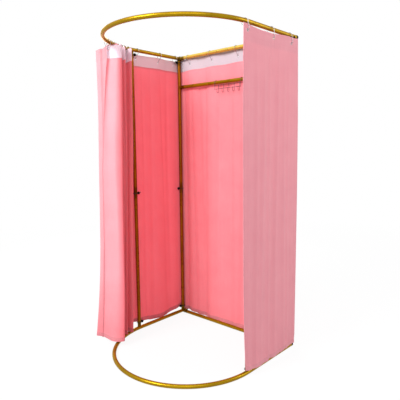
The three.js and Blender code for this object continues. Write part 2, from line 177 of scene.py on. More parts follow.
def make_world():
    world = bpy.data.worlds.new("studio")
    bpy.context.scene.world = world
    tree = empty_tree(world)
    plain, bright = (
        add(tree, "ShaderNodeBackground", {"Color": (1, 1, 1, 1), "Strength": strength}).outputs[0]
        for strength in (FILL_LIGHT, 1))
    add(tree, "ShaderNodeOutputWorld", {"Surface": white_for_the_eye(tree, plain, bright)})


def make_floor():
    material = bpy.data.materials.new("studio_white")
    tree = empty_tree(material)
    paper, ground = (
        add(tree, "ShaderNodeBsdfDiffuse", {"Color": (tone, tone, tone, 1)}).outputs[0]
        for tone in (PAPER_TONE, GROUND_TONE))
    place = add(tree, "ShaderNodeTexCoord").outputs["Object"]
    far = add(tree, "ShaderNodeVectorMath", {0: place}, operation="LENGTH").outputs["Value"]
    fade = add(tree, "ShaderNodeMapRange", {
        "Value": far, "From Min": SHADOW_FADE[0], "From Max": SHADOW_FADE[1],
        "To Min": SHADOW_SHARE, "To Max": 0})
    glow = add(tree, "ShaderNodeEmission").outputs[0]
    lit = add(tree, "ShaderNodeMixShader", {0: fade.outputs["Result"], 1: glow, 2: paper})
    white = white_for_the_eye(tree, ground, lit.outputs[0])
    add(tree, "ShaderNodeOutputMaterial", {"Surface": white})
    mesh = bpy.data.meshes.new("studio_floor")
    corners = [(x * FLOOR_REACH, y * FLOOR_REACH, 0)
               for x, y in ((-1, -1), (1, -1), (1, 1), (-1, 1))]
    mesh.from_pydata(corners, [], [(0, 1, 2, 3)])
    mesh.materials.append(material)
    floor = show(bpy.data.objects.new("studio_floor", mesh))


make_world()
make_floor()
print("floor and world are white, the fill light is", FILL_LIGHT)

# %% [markdown]
# Four soft panels of light. The strongest stands at the front and shines into the
# room, and a weak one at the front right evens out the folds of the curtain. One
# at the back left shines through the thin cloth and warms the inside, and one at
# the back right does the same for the near panel.

# %% Lamps
ROOM_MIDDLE, GATHERED_CLOTH = (0, -0.45, 1.0), (-0.4, -0.6, 1.5)
LAMPS = {  # place, target, width, height, watts
    "front_light": ((-0.55, -4.1, 3.5), ROOM_MIDDLE, 1.8, 1.8, 212),
    "curtain_light": ((2.2, -2.6, 3.0), GATHERED_CLOTH, 2.4, 2.4, 50),
    "back_light": ((-3.2, 1.9, 2.4), ROOM_MIDDLE, 2.6, 2.6, 95),
    "right_light": ((3.2, 2.0, 2.4), ROOM_MIDDLE, 2.0, 2.2, 66),
}
for name, (place, target, width, height, watts) in LAMPS.items():
    data = bpy.data.lights.new(name, "AREA")
    data.shape, data.size, data.size_y, data.energy = "RECTANGLE", width, height, watts
    lamp = show(bpy.data.objects.new(name, data))
    aim = (Vector(target) - Vector(place)).to_track_quat("-Z", "Y")
    lamp.matrix_world = Matrix.Translation(place) @ aim.to_matrix().to_4x4()
    lamp.visible_camera = False
print("lamps:", list(LAMPS))

# %% [markdown]
# Materials are small node graphs. A helper makes the nodes and wires them, so that
# each finish below reads as a short list of what the real one shows. A value that
# is the same everywhere is typed on the shader itself.

# %% A helper for node graphs
RAMP_ENDS = (0.3, 0.7)


class Finish:
    """A material with a Principled shader and a few named helpers."""

    def __init__(self, name, **sockets):
        self.material = bpy.data.materials.new(name)
        self.material.use_nodes = True
        self.tree = self.material.node_tree
        self.shader = self.tree.nodes["Principled BSDF"]
        self.set(**sockets)

    def set(self, **sockets):
        for socket, value in sockets.items():
            feed(self.tree, self.shader.inputs[socket.replace("_", " ")], value)

    def math(self, operation, a, b=0.0, c=0.5):
        return add(self.tree, "ShaderNodeMath", {0: a, 1: b, 2: c}, operation=operation).outputs[0]

    def noise(self, where, scale, detail=3.0):
        inputs = {"Vector": where, "Scale": scale, "Detail": detail}
        return add(self.tree, "ShaderNodeTexNoise", inputs).outputs["Fac"]

    def stretched(self, where, sizes):
        inputs = {"Vector": where, "Scale": sizes}
        return add(self.tree, "ShaderNodeMapping", inputs).outputs["Vector"]

    def between(self, amount, *colours):
        """A colour between two, by an amount from 0 to 1."""
        ramp = add(self.tree, "ShaderNodeValToRGB", {"Fac": amount})
        for stop, position, colour in zip(ramp.color_ramp.elements, RAMP_ENDS, colours):
            stop.position, stop.color = position, (*colour, 1)
        return ramp.outputs["Color"]

    def mixed(self, amount, first, second, **settings):
        inputs = {0: amount, 6: first, 7: second}
        return add(self.tree, "ShaderNodeMix", inputs, data_type="RGBA", **settings).outputs[2]

    def bump(self, height, strength, distance):
        inputs = {"Height": height, "Strength": strength, "Distance": distance}
        return add(self.tree, "ShaderNodeBump", inputs).outputs["Normal"]

    def attribute(self, name):
        return add(self.tree, "ShaderNodeAttribute", attribute_name=name).outputs["Fac"]

    def place(self):
        return add(self.tree, "ShaderNodeTexCoord").outputs["Object"]


def linear(*screen):
    """Screen colour values from 0 to 255 as linear light."""
    shares = [value / 255 for value in screen]
    return tuple(c / 12.92 if c <= 0.04045 else ((c + 0.055) / 1.055) ** 2.4 for c in shares)


print("white in linear light:", linear(255, 255, 255))

# %% [markdown]
# The tube is steel with a thin gold plating. It mirrors its surroundings softly, so what shows is a
# metal with a little roughness, faint drawing lines along the tube, and patches where hands have
# dulled it. The posts take a browner copy of the plating, which is painted shade, and the top back
# rail takes a paler copy, which is painted light.

# %% Gold plating
def gold_plating(name, pale, deep):
    f = Finish(name, Metallic=0.6, Specular_Tint=(1.0, 0.66, 0.24, 1))
    place = f.place()
    f.set(Base_Color=f.between(f.noise(place, 9.0, 4.0), linear(*pale), linear(*deep)),
          Roughness=f.math("MULTIPLY_ADD", f.noise(place, 55.0, 5.0), 0.2, 0.2),
          Normal=f.bump(f.noise(place, 420.0, 2.0), 0.06, 0.0004))
    return f.material


GOLD = gold_plating("gold_plating", (158, 126, 10), (138, 106, 6))
# A paler copy of the plating for the top back rail: painted light.
LIT_GOLD = gold_plating("lit_gold_plating", (222, 196, 92), (206, 178, 78))
# A browner copy of the plating for the posts: painted shade.
SHADED_GOLD = gold_plating("shaded_gold_plating", (142, 84, 4), (122, 66, 2))
print("made", GOLD.name, LIT_GOLD.name, SHADED_GOLD.name)

# %% [markdown]
# Caps and collars are moulded in black plastic with a fine spark-eroded grain.
# The rings and the eyelets are nickel plated, and the wire of the rack is a darker, pinker copy of
# the nickel: painted shade and a painted pink reflection of the cloth round it.
# The elastic is braided, and its braid follows the cord by two values that the
# cord carries: the length along it and the turn round it.

# %% Plastic, nickel and elastic
BRAID = {"along": 2200.0, "around": 25.13}


def black_plastic():
    f = Finish("black_plastic", Roughness=0.7, Specular_IOR_Level=0.03)
    place = f.place()
    tone = f.between(f.noise(place, 60.0), (0.003, 0.003, 0.0035), (0.007, 0.007, 0.0075))
    f.set(Base_Color=tone, Normal=f.bump(f.noise(place, 1500.0, 2.0), 0.2, 0.0003))
    return f.material


def wire(name, pale, deep):
    f = Finish(name, Metallic=1.0)
    place = f.place()
    f.set(Base_Color=f.between(f.noise(place, 30.0), pale, deep),
          Roughness=f.math("MULTIPLY_ADD", f.noise(place, 160.0), 0.2, 0.3))
    return f.material


def braided_elastic():
    f = Finish("braided_elastic", Roughness=0.8)
    along, around = (f.math("MULTIPLY", f.attribute(key), rate) for key, rate in BRAID.items())
    one, other = (f.math("SINE", f.math(way, along, around)) for way in ("ADD", "SUBTRACT"))
    strands = f.math("MULTIPLY_ADD", f.math("MULTIPLY", one, other), 0.5, 0.5)
    f.set(Base_Color=f.between(strands, (0.012, 0.012, 0.013), (0.05, 0.05, 0.055)),
          Normal=f.bump(strands, 0.6, 0.0003))
    return f.material


PLASTIC, ELASTIC = black_plastic(), braided_elastic()
NICKEL = wire("nickel_wire", (0.42, 0.40, 0.41), (0.30, 0.28, 0.29))
# A darker, pink-tinted copy of the nickel for the rack: painted shade and a painted pink
# reflection.
SHADED_PINK_WIRE = wire("shaded_pink_wire", (0.16, 0.10, 0.11), (0.09, 0.05, 0.06))
print("made", PLASTIC.name, NICKEL.name, SHADED_PINK_WIRE.name, ELASTIC.name)

# %% [markdown]
# The cloth is a plain matt weave. Its threads run along the cloth's own UV map, which is in metres,
# so the weave follows every fold. Thick threads make faint streaks, a hem is two layers and so lets
# less light through, and part of the light that falls on the far side comes through and glows. The
# colour of the hems and the header is also darkened by a factor, which is painted shade. The side
# that faces the room is coral, the other side is a greyer rose. The back panel gets a paler coral,
# which is painted light. The curtain has a paler tone outside and on its leading part, which is
# painted light. The header tapes have three tones: white, and two darker copies that are painted
# shade.

# %% Woven cloth
THREAD_ANGLE = 6283.0  # a turn of the sine for every millimetre
SLUB = (520.0, 14.0, 1.0), (14.0, 520.0, 1.0)
HEM_GLOW_LOSS = 0.5


def woven_cloth(name, inside, outside, glow, hem_shade_factor):
    """Inside and outside are each a pale and a deep tone; glow is what comes through, and the hem
    factor darkens hems and header as painted shade.
    """
    f = Finish(name, Roughness=0.85, Sheen_Weight=0.12, Sheen_Roughness=0.5,
               Specular_IOR_Level=0.25)
    uv = add(f.tree, "ShaderNodeUVMap", uv_map="cloth").outputs["UV"]
    slubs, cross = (f.noise(f.stretched(uv, sizes), 1.0, 2.0) for sizes in SLUB)
    streak = f.math("ADD", f.math("MULTIPLY", slubs, 0.35), f.math("MULTIPLY", cross, 0.25))
    amount = f.math("ADD", streak, f.math("MULTIPLY", f.noise(uv, 7.0), 0.4))
    near, far = (f.between(amount, *(linear(*tone) for tone in side)) for side in (inside, outside))
    hem = f.attribute("hem")
    # Hems and header are darkened by the hem factor: painted shade.
    colour = f.mixed(hem, f.mixed(f.attribute("outside"), near, far),
                     (hem_shade_factor, hem_shade_factor, hem_shade_factor, 1), blend_type="MULTIPLY")
    split = add(f.tree, "ShaderNodeSeparateXYZ", {"Vector": uv}).outputs
    warp, weft = (f.math("SINE", f.math("MULTIPLY", split[axis], THREAD_ANGLE)) for axis in "XY")
    weave = f.math("ADD", f.math("MULTIPLY", warp, weft), slubs)
    f.set(Base_Color=colour, Normal=f.bump(weave, 0.12, 0.0003))
    through = add(f.tree, "ShaderNodeBsdfTranslucent", {"Color": colour}).outputs[0]
    share = f.math("SUBTRACT", glow, f.math("MULTIPLY", hem, glow * HEM_GLOW_LOSS))
    mix = add(f.tree, "ShaderNodeMixShader", {0: share, 1: f.shader.outputs[0], 2: through})
    feed(f.tree, f.tree.nodes["Material Output"].inputs["Surface"], mix.outputs[0])
    return f.material


def plain_cloth(name, *screen):
    """For small pieces without a UV map: the same weave, read from their place."""
    f = Finish(name, Roughness=0.85)
    grain, colour = f.noise(f.place(), 900.0, 2.0), linear(*screen)
    f.set(Base_Color=f.between(grain, colour, tuple(c * 0.85 for c in colour)),
          Normal=f.bump(grain, 0.2, 0.0003))
    return f.material


CORAL, ROSE = ((255, 153, 163), (252, 138, 150)), ((240, 164, 174), (232, 152, 163))
# A paler copy of the coral for the back panel, which the lamps light more: painted light.
LIT_CORAL = (255, 168, 176), (252, 152, 162)
# The curtain's paler outer tone is painted light.
CURTAIN_CORAL, CURTAIN_LIT_ROSE = ((255, 148, 158), (250, 132, 142)), ((255, 182, 191), (252, 166, 175))
INNER_PINK = woven_cloth("coral_cloth", CORAL, ROSE, 0.40, 0.78)
LIT_BACK_PINK = woven_cloth("lit_coral_cloth", LIT_CORAL, ROSE, 0.36, 0.84)
OUTER_PINK = woven_cloth("rose_cloth", CORAL, ROSE, 0.14, 0.94)
CURTAIN_PINK = woven_cloth("curtain_cloth", CURTAIN_CORAL, CURTAIN_LIT_ROSE, 0.28, 0.80)
# One white tape in three tones: white, a greyer copy for the left panel and a deeper pink copy for
# the back panel. The two darker copies are painted shade.
WHITE_TAPE, SHADED_TAPE, SHADED_PINK_TAPE = (
    woven_cloth(f"{name}_tape", (inside, inside), (outside, outside), 0.12, 1)
    for name, inside, outside in (("white", (242, 213, 225), (244, 228, 238)),
                                  ("pale", (236, 206, 214), (240, 222, 232)),
                                  ("pink", (202, 188, 197), (232, 206, 212))))
LOOP_CLOTH = plain_cloth("loop_cloth", 240, 120, 134)
PINK_THREAD = plain_cloth("pink_thread", 226, 120, 132)
WHITE_THREAD = plain_cloth("white_thread", 236, 218, 228)
print("cloths:", [m.name for m in bpy.data.materials
                  if m.name.endswith(("cloth", "tape", "thread"))])

# %% [markdown]
# Most hard pieces here are rods: a round section that follows a path. Geometry
# Nodes does that well. A curve object holds the paths, the tree runs a circle
# along them, and keeps two values on the surface: the length along the path and
# the turn round it. Its named inputs are the sizes.

# %% The rod tree
def new_tree(name, **inputs):
    """An empty Geometry Nodes tree with named inputs of (kind, value)."""
    tree = bpy.data.node_groups.new(name, "GeometryNodeTree")
    face = tree.interface
    face.new_socket("Geometry", in_out="INPUT", socket_type="NodeSocketGeometry")
    for label, (kind, value) in inputs.items():
        socket = face.new_socket(label, in_out="INPUT", socket_type=f"NodeSocket{kind}")
        if value is not None:
            socket.default_value = value
    face.new_socket("Geometry", in_out="OUTPUT", socket_type="NodeSocketGeometry")
    return tree, add(tree, "NodeGroupInput").outputs


def finish_tree(tree, geometry, material):
    """Every tree ends the same way: real geometry, then its material."""
    real = add(tree, "GeometryNodeRealizeInstances", {"Geometry": geometry})
    paint = add(tree, "GeometryNodeSetMaterial",
                {"Geometry": real.outputs[0], "Material": material})
    add(tree, "NodeGroupOutput", {"Geometry": paint.outputs[0]})
    return tree


def stored(tree, geometry, name, value):
    """The geometry with a number kept on each of its points."""
    inputs = {"Geometry": geometry, "Name": name, "Value": value}
    return add(tree, "GeometryNodeStoreNamedAttribute", inputs,
               data_type="FLOAT", domain="POINT").outputs[0]


def rod_tree():
    tree, given = new_tree("rod_along_path", radius=("Float", 0.01), sides=("Int", 24),
                           closed_ends=("Bool", True), material=("Material", None))
    measure = add(tree, "GeometryNodeSplineParameter").outputs
    path = stored(tree, given["Geometry"], "along", measure["Length"])
    circle = add(tree, "GeometryNodeCurvePrimitiveCircle",
                 {"Resolution": given["sides"], "Radius": given["radius"]}, mode="RADIUS")
    section = stored(tree, circle.outputs[0], "around", measure["Factor"])
    swept = add(tree, "GeometryNodeCurveToMesh", {
        "Curve": path, "Profile Curve": section, "Fill Caps": given["closed_ends"]})
    smooth = add(tree, "GeometryNodeSetShadeSmooth", {"Geometry": swept.outputs[0]})
    return finish_tree(tree, smooth.outputs[0], given["material"])


ROD = rod_tree()
print("inputs of the rod tree:", [i.name for i in ROD.interface.items_tree])

# %% [markdown]
# Small helpers go with every tree. One makes the curve object from lists of
# points, one hands the tree its inputs by their identifiers, and one turns the
# evaluated result into a plain mesh whose faces point outwards.

# %% Curves in, plain meshes out
def paths_object(name, paths):
    """A curve of straight runs; a path is (points, share of the radius)."""
    data = bpy.data.curves.new(name, "CURVE")
    data.dimensions = "3D"
    for points, share in paths:
        spline = data.splines.new("POLY")
        spline.points.add(len(points) - 1)
        for place, point in zip(spline.points, points):
            place.co, place.radius = (*point, 1), share
    return show(bpy.data.objects.new(name, data))


def use_tree(obj, tree, **inputs):
    modifier = obj.modifiers.new(tree.name, "NODES")
    modifier.node_group = tree
    names = {item.name: item.identifier
             for item in tree.interface.items_tree if item.in_out == "INPUT"}
    for key, value in inputs.items():
        modifier[names[key]] = value


def point_outwards(mesh):
    """Turns the faces over where the mesh encloses a negative volume."""
    mesh.calc_loop_triangles()
    corners = np.zeros(len(mesh.loop_triangles) * 3, np.int32)
    mesh.loop_triangles.foreach_get("vertices", corners)
    spots = np.zeros(len(mesh.vertices) * 3)
    mesh.vertices.foreach_get("co", spots)
    a, b, c = (spots.reshape(-1, 3)[corners[i::3]] for i in range(3))
    if np.einsum("ij,ij->i", a, np.cross(b, c)).sum() < 0:
        mesh.flip_normals()


def shade(mesh, sharp):
    """Smooth faces, with a sharp edge wherever two meet at more than an angle."""
    mesh.polygons.foreach_set("use_smooth", [True] * len(mesh.polygons))
    mesh.set_sharp_from_angle(angle=math.radians(sharp))


def plain_mesh(name, source):
    """The evaluated object as a new mesh object; the source is removed."""
    bpy.context.view_layer.update()
    graph = bpy.context.evaluated_depsgraph_get()
    mesh = bpy.data.meshes.new_from_object(source.evaluated_get(graph))
    data = source.data
    bpy.data.objects.remove(source)
    if data.users == 0 and isinstance(data, bpy.types.Mesh):
        bpy.data.meshes.remove(data)
    mesh.name = name
    point_outwards(mesh)
    shade(mesh, 35)
    return show(bpy.data.objects.new(name, mesh))


print("paths become plain meshes by way of a tree")

# %% [markdown]
# A finished piece rides on a body and may stand for some of the engineering solids, which it then
# replaces. A rod is a path, the rod tree and a plain mesh. A tube is a rod that is hollow: its wall
# gets a thickness.

# %% Finished pieces, rods and tubes
def settle(piece, body, slot, *nodes):
    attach(piece, body)
    if nodes:
        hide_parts(*nodes)
    return piece


def rod(name, paths, radius, material, sides=24, bore=0.0):
    """A solid rod, or with a bore a tube."""
    source = paths_object(name, paths)
    use_tree(source, ROD, radius=radius, sides=sides, closed_ends=bore == 0, material=material)
    piece = plain_mesh(name, source)
    if bore:
        wall = piece.modifiers.new("wall", "SOLIDIFY")
        wall.thickness, wall.offset, wall.use_rim = bore, -1, True
        piece = plain_mesh(name, piece)
    return piece


def gold_tube(name, paths, material):
    return rod(name, paths, TUBE, material, sides=32, bore=WALL)


print("tube wall", WALL)

# %% [markdown]
# The two loops are bent from one tube each side: a straight arm and a quarter of
# the front circle. They meet at the front, where a narrower sleeve inside joins
# them. Short stubs stand on them, and the posts and the back rails push on those.

# %% Top and bottom loops
STUB_SHARE = STUB / TUBE
LEVELS = {"top": (TOP_Z, -1), "bottom": (BOTTOM_Z, 1)}
SLEEVE_TURN = 0.08


def arc_point(side, angle, out, height):
    """A point by the front arc: the angle runs from the side to the front."""
    radius = HALF_WIDTH + out
    flat = Vector((side * radius * math.cos(angle), -radius * math.sin(angle), height))
    return ARC_CENTRE + flat


def loop_paths(side, height, inward):
    """The rail's centre line from the arm's open end to the front, and its stubs."""
    line = [Vector((side * HALF_WIDTH, y, height)) for y in np.linspace(ARM_END, -0.43, 12)]
    last = math.pi / 2 - GAP / 2 / HALF_WIDTH
    line += [arc_point(side, angle, 0, height) for angle in np.linspace(0, last, 40)]
    stubs = []
    for x, y in ((FRONT_POST_X, FRONT_POST_Y), (HALF_WIDTH, 0)):
        foot = Vector((side * x, y, height + inward * BORE))
        stubs.append([foot, foot + Vector((0, 0, inward * (STUB_REACH - TUBE)))])
    stubs.append([Vector((side * (HALF_WIDTH - reach), 0, height)) for reach in (BORE, STUB_REACH)])
    if side > 0:
        stubs.append([arc_point(1, math.pi / 2 + turn, 0, height)
                      for turn in np.linspace(-SLEEVE_TURN, SLEEVE_TURN, 9)])
    return [(line, 1.0), *((stub, STUB_SHARE) for stub in stubs)]


for level, (height, inward) in LEVELS.items():
    for label, side in SIDES.items():
        rail = gold_tube(f"{level}_{label}_loop", loop_paths(side, height, inward), GOLD)
        settle(rail, "frame", "gold_tube", f"{level}_{label}_rail")
        print(rail.name, len(rail.data.polygons), "faces")

# %% [markdown]
# A level bar's end is cut to the round of the tube that it meets. Its path is
# straight, so the cut is made afterwards: each end point moves along X until it
# lies on the other tube. The letter with each bar is the axis along which the tube
# that it meets curves away.

# %% Back rails and hanging rail
# The top back bar takes the paler copy of the plating, which is painted light.
BARS = (("top_back_bar", "top_back_rail", TOP_Z, "Z", LIT_GOLD),
        ("bottom_back_bar", "bottom_back_rail", BOTTOM_Z, "Z", GOLD),
        ("hanging_bar", "hanging_rail", HANGING_RAIL_Z, "Y", GOLD))
for name, node, height, across, material in BARS:
    half = HALF_WIDTH - TUBE
    steps = [-half, -half + 0.02, 0, half - 0.02, half]
    bar = gold_tube(name, [([Vector((x, 0, height)) for x in steps], 1.0)], material)
    for vertex in bar.data.vertices:
        x, y, z = vertex.co
        if abs(x) > half - 0.01:
            off = y if across == "Y" else z - height
            vertex.co.x = math.copysign(HALF_WIDTH - math.sqrt((TUBE + GAP) ** 2 - off**2), x)
    bar.data.update()
    settle(bar, "frame", "gold_tube", node)
print("level bars:", [bar[0] for bar in BARS])

# %% [markdown]
# Each post comes in two lengths, so that the room packs into a bag. The upper
# length ends in a narrower sleeve that drops into the lower one, and the joint
# shows as a fine line at half height. The back posts also carry the stubs of the
# hanging rail.

# %% Posts
POSTS = {
    "front_left": (-FRONT_POST_X, FRONT_POST_Y), "front_right": (FRONT_POST_X, FRONT_POST_Y),
    "back_left": (-HALF_WIDTH, 0.0), "back_right": (HALF_WIDTH, 0.0),
}
POST_TOP = TOP_Z - TUBE - GAP


def post(name, length, x, y, low, high, extra=()):
    run = [Vector((x, y, z)) for z in (low, low + 0.01, high - 0.01, high)]
    paths = [(run, 1.0), *((path, STUB_SHARE) for path in extra)]
    # The posts take the browner copy of the plating, which is painted shade.
    tube = gold_tube(f"{name}_{length}_tube", paths, SHADED_GOLD)
    settle(tube, "frame", "gold_tube", f"{name}_{length}_post")


for name, (x, y) in POSTS.items():
    post(name, "lower", x, y, BOTTOM_Z + TUBE + GAP, POST_JOINT_Z)
    extra = [[Vector((x, y, POST_JOINT_Z + rise)) for rise in (-0.04, 0.04)]]
    if y == 0:
        side = math.copysign(1, x)
        extra.append([Vector((x - side * reach, 0, HANGING_RAIL_Z))
                      for reach in (BORE, STUB_REACH)])
    post(name, "upper", x, y, POST_JOINT_Z + GAP, POST_TOP, extra)
    print(name, "posts end at", round(POST_TOP, 4))

# %% [markdown]
# Caps and balls are turned shapes, so each starts as half an outline that is spun
# round its own axis. Copies of one turned master are then set on points by a
# second tree, which turns each copy to face the way its point says.

# %% Turned masters and the tree that places copies
def turned_mesh(name, outline, segments=40):
    """Spins (radius, height) pairs round Z; ends on the axis become one point."""
    spots, faces, rings = [], [], []
    for radius, height in outline:
        count = segments if radius else 1
        rings.append([len(spots) + i % count for i in range(segments)])
        for i in range(count):
            turn = 2 * math.pi * i / segments
            spots.append((radius * math.cos(turn), radius * math.sin(turn), height))
    if outline[0][0] > 0:
        rings.append(rings[0])
    for low, high in zip(rings, rings[1:]):
        for i in range(segments):
            j = (i + 1) % segments
            face = [low[i], low[j], high[j], high[i]]
            faces.append([v for k, v in enumerate(face) if v not in face[:k]])
    mesh = bpy.data.meshes.new(name)
    mesh.from_pydata(spots, [], faces)
    mesh.update()
    return mesh


def copies_tree():
    tree, given = new_tree("copies_on_points", master=("Object", None), material=("Material", None))
    master = add(tree, "GeometryNodeObjectInfo", {"Object": given["master"], "As Instance": True})
    facing = add(tree, "GeometryNodeInputNamedAttribute", {"Name": "facing"},
                 data_type="FLOAT_VECTOR").outputs["Attribute"]
    turn = add(tree, "FunctionNodeAlignRotationToVector", {"Vector": facing}, axis="Z")
    placed = add(tree, "GeometryNodeInstanceOnPoints", {
        "Points": given["Geometry"], "Instance": master.outputs["Geometry"],
        "Rotation": turn.outputs[0]})
    return finish_tree(tree, placed.outputs[0], given["material"])


COPIES = copies_tree()


def copies(name, mesh, places, material):
    """One piece made of copies of a mesh; a place is (point, facing)."""
    master = bpy.data.objects.new(f"{name}_master", mesh)
    points = bpy.data.meshes.new(f"{name}_points")
    points.from_pydata([tuple(spot) for spot, _ in places], [], [])
    facing = points.attributes.new("facing", "FLOAT_VECTOR", "POINT")
    facing.data.foreach_set("vector", [v for _, way in places for v in way])
    source = show(bpy.data.objects.new(f"{name}_source", points))
    use_tree(source, COPIES, master=master, material=material)
    piece = plain_mesh(name, source)
    bpy.data.objects.remove(master)
    if mesh.users == 0:
        bpy.data.meshes.remove(mesh)
    return piece


print("tree", COPIES.name, "ready")

# %% [markdown]
# The four open arm ends are closed with black caps: a ribbed skirt inside the tube,
# a domed face, and a collar that reaches back over the tube as far as the back
# rail. The lower collars are thin, because the loop lies on the floor.

# %% End caps
CAP_COLLARS = {"top": 0.0136, "bottom": 0.0129}
SKIRT, BACK_REACH = BORE - 0.0003, -0.013
OVER_TUBE = TUBE + 0.0001


def cap_outline(collar):
    return [(0, -0.018), (SKIRT - 0.0003, -0.018), (SKIRT, -0.017), (SKIRT, GAP), (OVER_TUBE, GAP),
            (OVER_TUBE, BACK_REACH), (collar - 0.0003, BACK_REACH), (collar, -0.0122),
            (collar, 0.0020), (collar - 0.0006, 0.0032), (collar - 0.0022, 0.0040),
            (TUBE - 0.006, 0.0045), (0, 0.0047)]


for level, collar in CAP_COLLARS.items():
    for label, side in SIDES.items():
        place = (Vector((side * HALF_WIDTH, ARM_END, LEVELS[level][0])), (0, 1, 0))
        cap_mesh = turned_mesh("cap", cap_outline(collar))
        cap = copies(f"{level}_{label}_cap", cap_mesh, [place], PLASTIC)
        settle(cap, "frame", "plug", f"{level}_{label}_end_plug")
print("cap collar radii", CAP_COLLARS)

# %% [markdown]
# A small black moulded fitting clips round each top corner at the back, where an
# arm, a post and the back rail meet. Two short sleeves, one along the back rail and
# one down the post, are joined into one body, which is then bored out to all three
# tubes, a hair wider than each.

# %% Corner fittings
FITTING_RADIUS, FITTING_EDGE = 0.0148, 0.0012
DOWN, BACK = (0, 0, -1), (0, 1, 0)


def cylinder(name, centre, axis, radius, start, end):
    inner, low, high = radius - FITTING_EDGE, start + FITTING_EDGE, end - FITTING_EDGE
    outline = [(0, start), (inner, start), (radius, low), (radius, high), (inner, end), (0, end)]
    mesh = turned_mesh(name, outline)
    turn = Vector(axis).to_track_quat("Z", "Y").to_matrix().to_4x4()
    mesh.transform(Matrix.Translation(centre) @ turn)
    point_outwards(mesh)
    return show(bpy.data.objects.new(name, mesh))


def combined(name, base, tools, operation):
    for tool in tools:
        change = base.modifiers.new("change", "BOOLEAN")
        change.object, change.operation, change.solver = tool, operation, "EXACT"
    base.name = "base"
    result = plain_mesh(name, base)
    for tool in tools:
        mesh = tool.data
        bpy.data.objects.remove(tool)
        bpy.data.meshes.remove(mesh)
    return result


for label, side in SIDES.items():
    name, inward = f"top_{label}_corner_fitting", (-side, 0, 0)
    corner = Vector((side * HALF_WIDTH, 0, TOP_Z))
    along_rail, along_post = (
        cylinder("sleeve", corner, way, FITTING_RADIUS, 0, reach)
        for way, reach in ((inward, 0.0160), (DOWN, 0.0165)))
    body = combined(name, along_rail, [along_post], "UNION")
    bores = [cylinder("bore", corner, way, OVER_TUBE, start, 0.05)
             for way, start in ((inward, 0), (DOWN, 0), (BACK, -0.05))]
    fitting = combined(name, body, bores, "DIFFERENCE")
    fitting.data.materials.clear()
    fitting.data.materials.append(PLASTIC)
    settle(fitting, "frame", "plug")
    print(fitting.name, len(fitting.data.polygons), "faces")

# %% [markdown]
# A curtain ring is a length of wire bent into a drop: wide over the rail, narrow
# where it goes through the eyelet, with its open mouth on the room's side. The
# outline is worked out in a plane: across the rail, and up.

# %% Rings
RING_WIRE, RING_CLEARANCE = 0.0015, 0.0002
UPPER, LOWER, MOUTH_TURN = 0.022, 0.008, 0.09
EYELET_Z, EYELET_SINK = PANEL_TOP - 0.040, 0.003


def drop_outline(reach):
    """The ring's wire round a rail at the origin; reach is how far out it hangs."""
    upper_z = TUBE + RING_WIRE + RING_CLEARANCE - UPPER
    low = EYELET_Z + EYELET_SINK - TOP_Z + LOWER
    points = [(-UPPER, upper_z - 0.003)]
    for angle in np.linspace(math.pi, 2 * math.pi, 15):
        points.append((reach + LOWER * math.cos(angle), low + LOWER * math.sin(angle)))
    for angle in np.linspace(0, math.pi - MOUTH_TURN, 25):
        points.append((UPPER * math.cos(angle), upper_z + UPPER * math.sin(angle)))
    return points


def ring(name, rail_point, outward, reach, body, node):
    outward = Vector(outward).normalized()
    path = [rail_point + outward * across + Vector((0, 0, up))
            for across, up in drop_outline(reach)]
    wire_ring = rod(name, [(path, 1.0)], RING_WIRE, NICKEL, sides=10)
    settle(wire_ring, body, "ring_wire", node)


SIDE_OUT, BACK_OUT = 0.020, 0.0215
PANEL_FRONT = {"left": -0.520, "right": -0.517}
BACK_HALF = HALF_WIDTH + 0.0045
RING_SPOTS = {
    "left": [ARM_END - 0.0866, ARM_END - 0.43 * 0.562, PANEL_FRONT["left"] + 0.1115],
    "right": [ARM_END - 0.0866, ARM_END - 0.506 * 0.559, PANEL_FRONT["right"] + 0.032],
    "back": [BACK_HALF - share * 2 * BACK_HALF for share in (0.082, 0.263, 0.443, 0.68, 0.898)],
}
for label, spots in RING_SPOTS.items():
    for i, spot in enumerate(spots, 1):
        if label == "back":
            rail_point, outward, reach = Vector((spot, 0, TOP_Z)), BACK, BACK_OUT
        else:
            side, past = SIDES[label], min(0, spot - ARC_CENTRE.y)
            rail_point = Vector((side * math.sqrt(HALF_WIDTH**2 - past**2), spot, TOP_Z))
            outward, reach = (side, 0, 0), HALF_WIDTH + SIDE_OUT - abs(rail_point.x)
        ring(f"{label}_ring_{i}", rail_point, outward, reach, "frame", f"{label}_panel_ring_{i}")
print("rings at", {label: [round(v, 3) for v in spots] for label, spots in RING_SPOTS.items()})

# %% [markdown]
# The front curtain has eight rings of its own. The first stays at the tied edge
# and each of the others is a body that travels along the rail, so every ring is a
# separate piece that rides on its own runner.

# %% Curtain rings
CURTAIN_ANGLES = [math.radians(a) for a in (5.6, 9.6, 13.6, 17.5, 21.3, 25.2, 30, 34.5)]
RUNNERS = ["frame", *[f"curtain_runner_{i}" for i in range(2, 8)], "curtain_lead"]
for i, (angle, body) in enumerate(zip(CURTAIN_ANGLES, RUNNERS), 1):
    outward = arc_point(-1, angle, 1, 0) - arc_point(-1, angle, 0, 0)
    ring(f"front_ring_{i}", arc_point(-1, angle, 0, TOP_Z), outward, 0, body, f"curtain_ring_{i}")
print("curtain rings ride on", RUNNERS)

# %% [markdown]
# At three heights each post carries an elastic tie: a loop of braided cord round
# the post, held by a plastic ball. The cord enters the ball, and its two ends come
# out in a small knot behind it. A short loop of the panel's cloth, sewn to the
# panel's inner face, holds the cord, so that nothing shows on the outside.

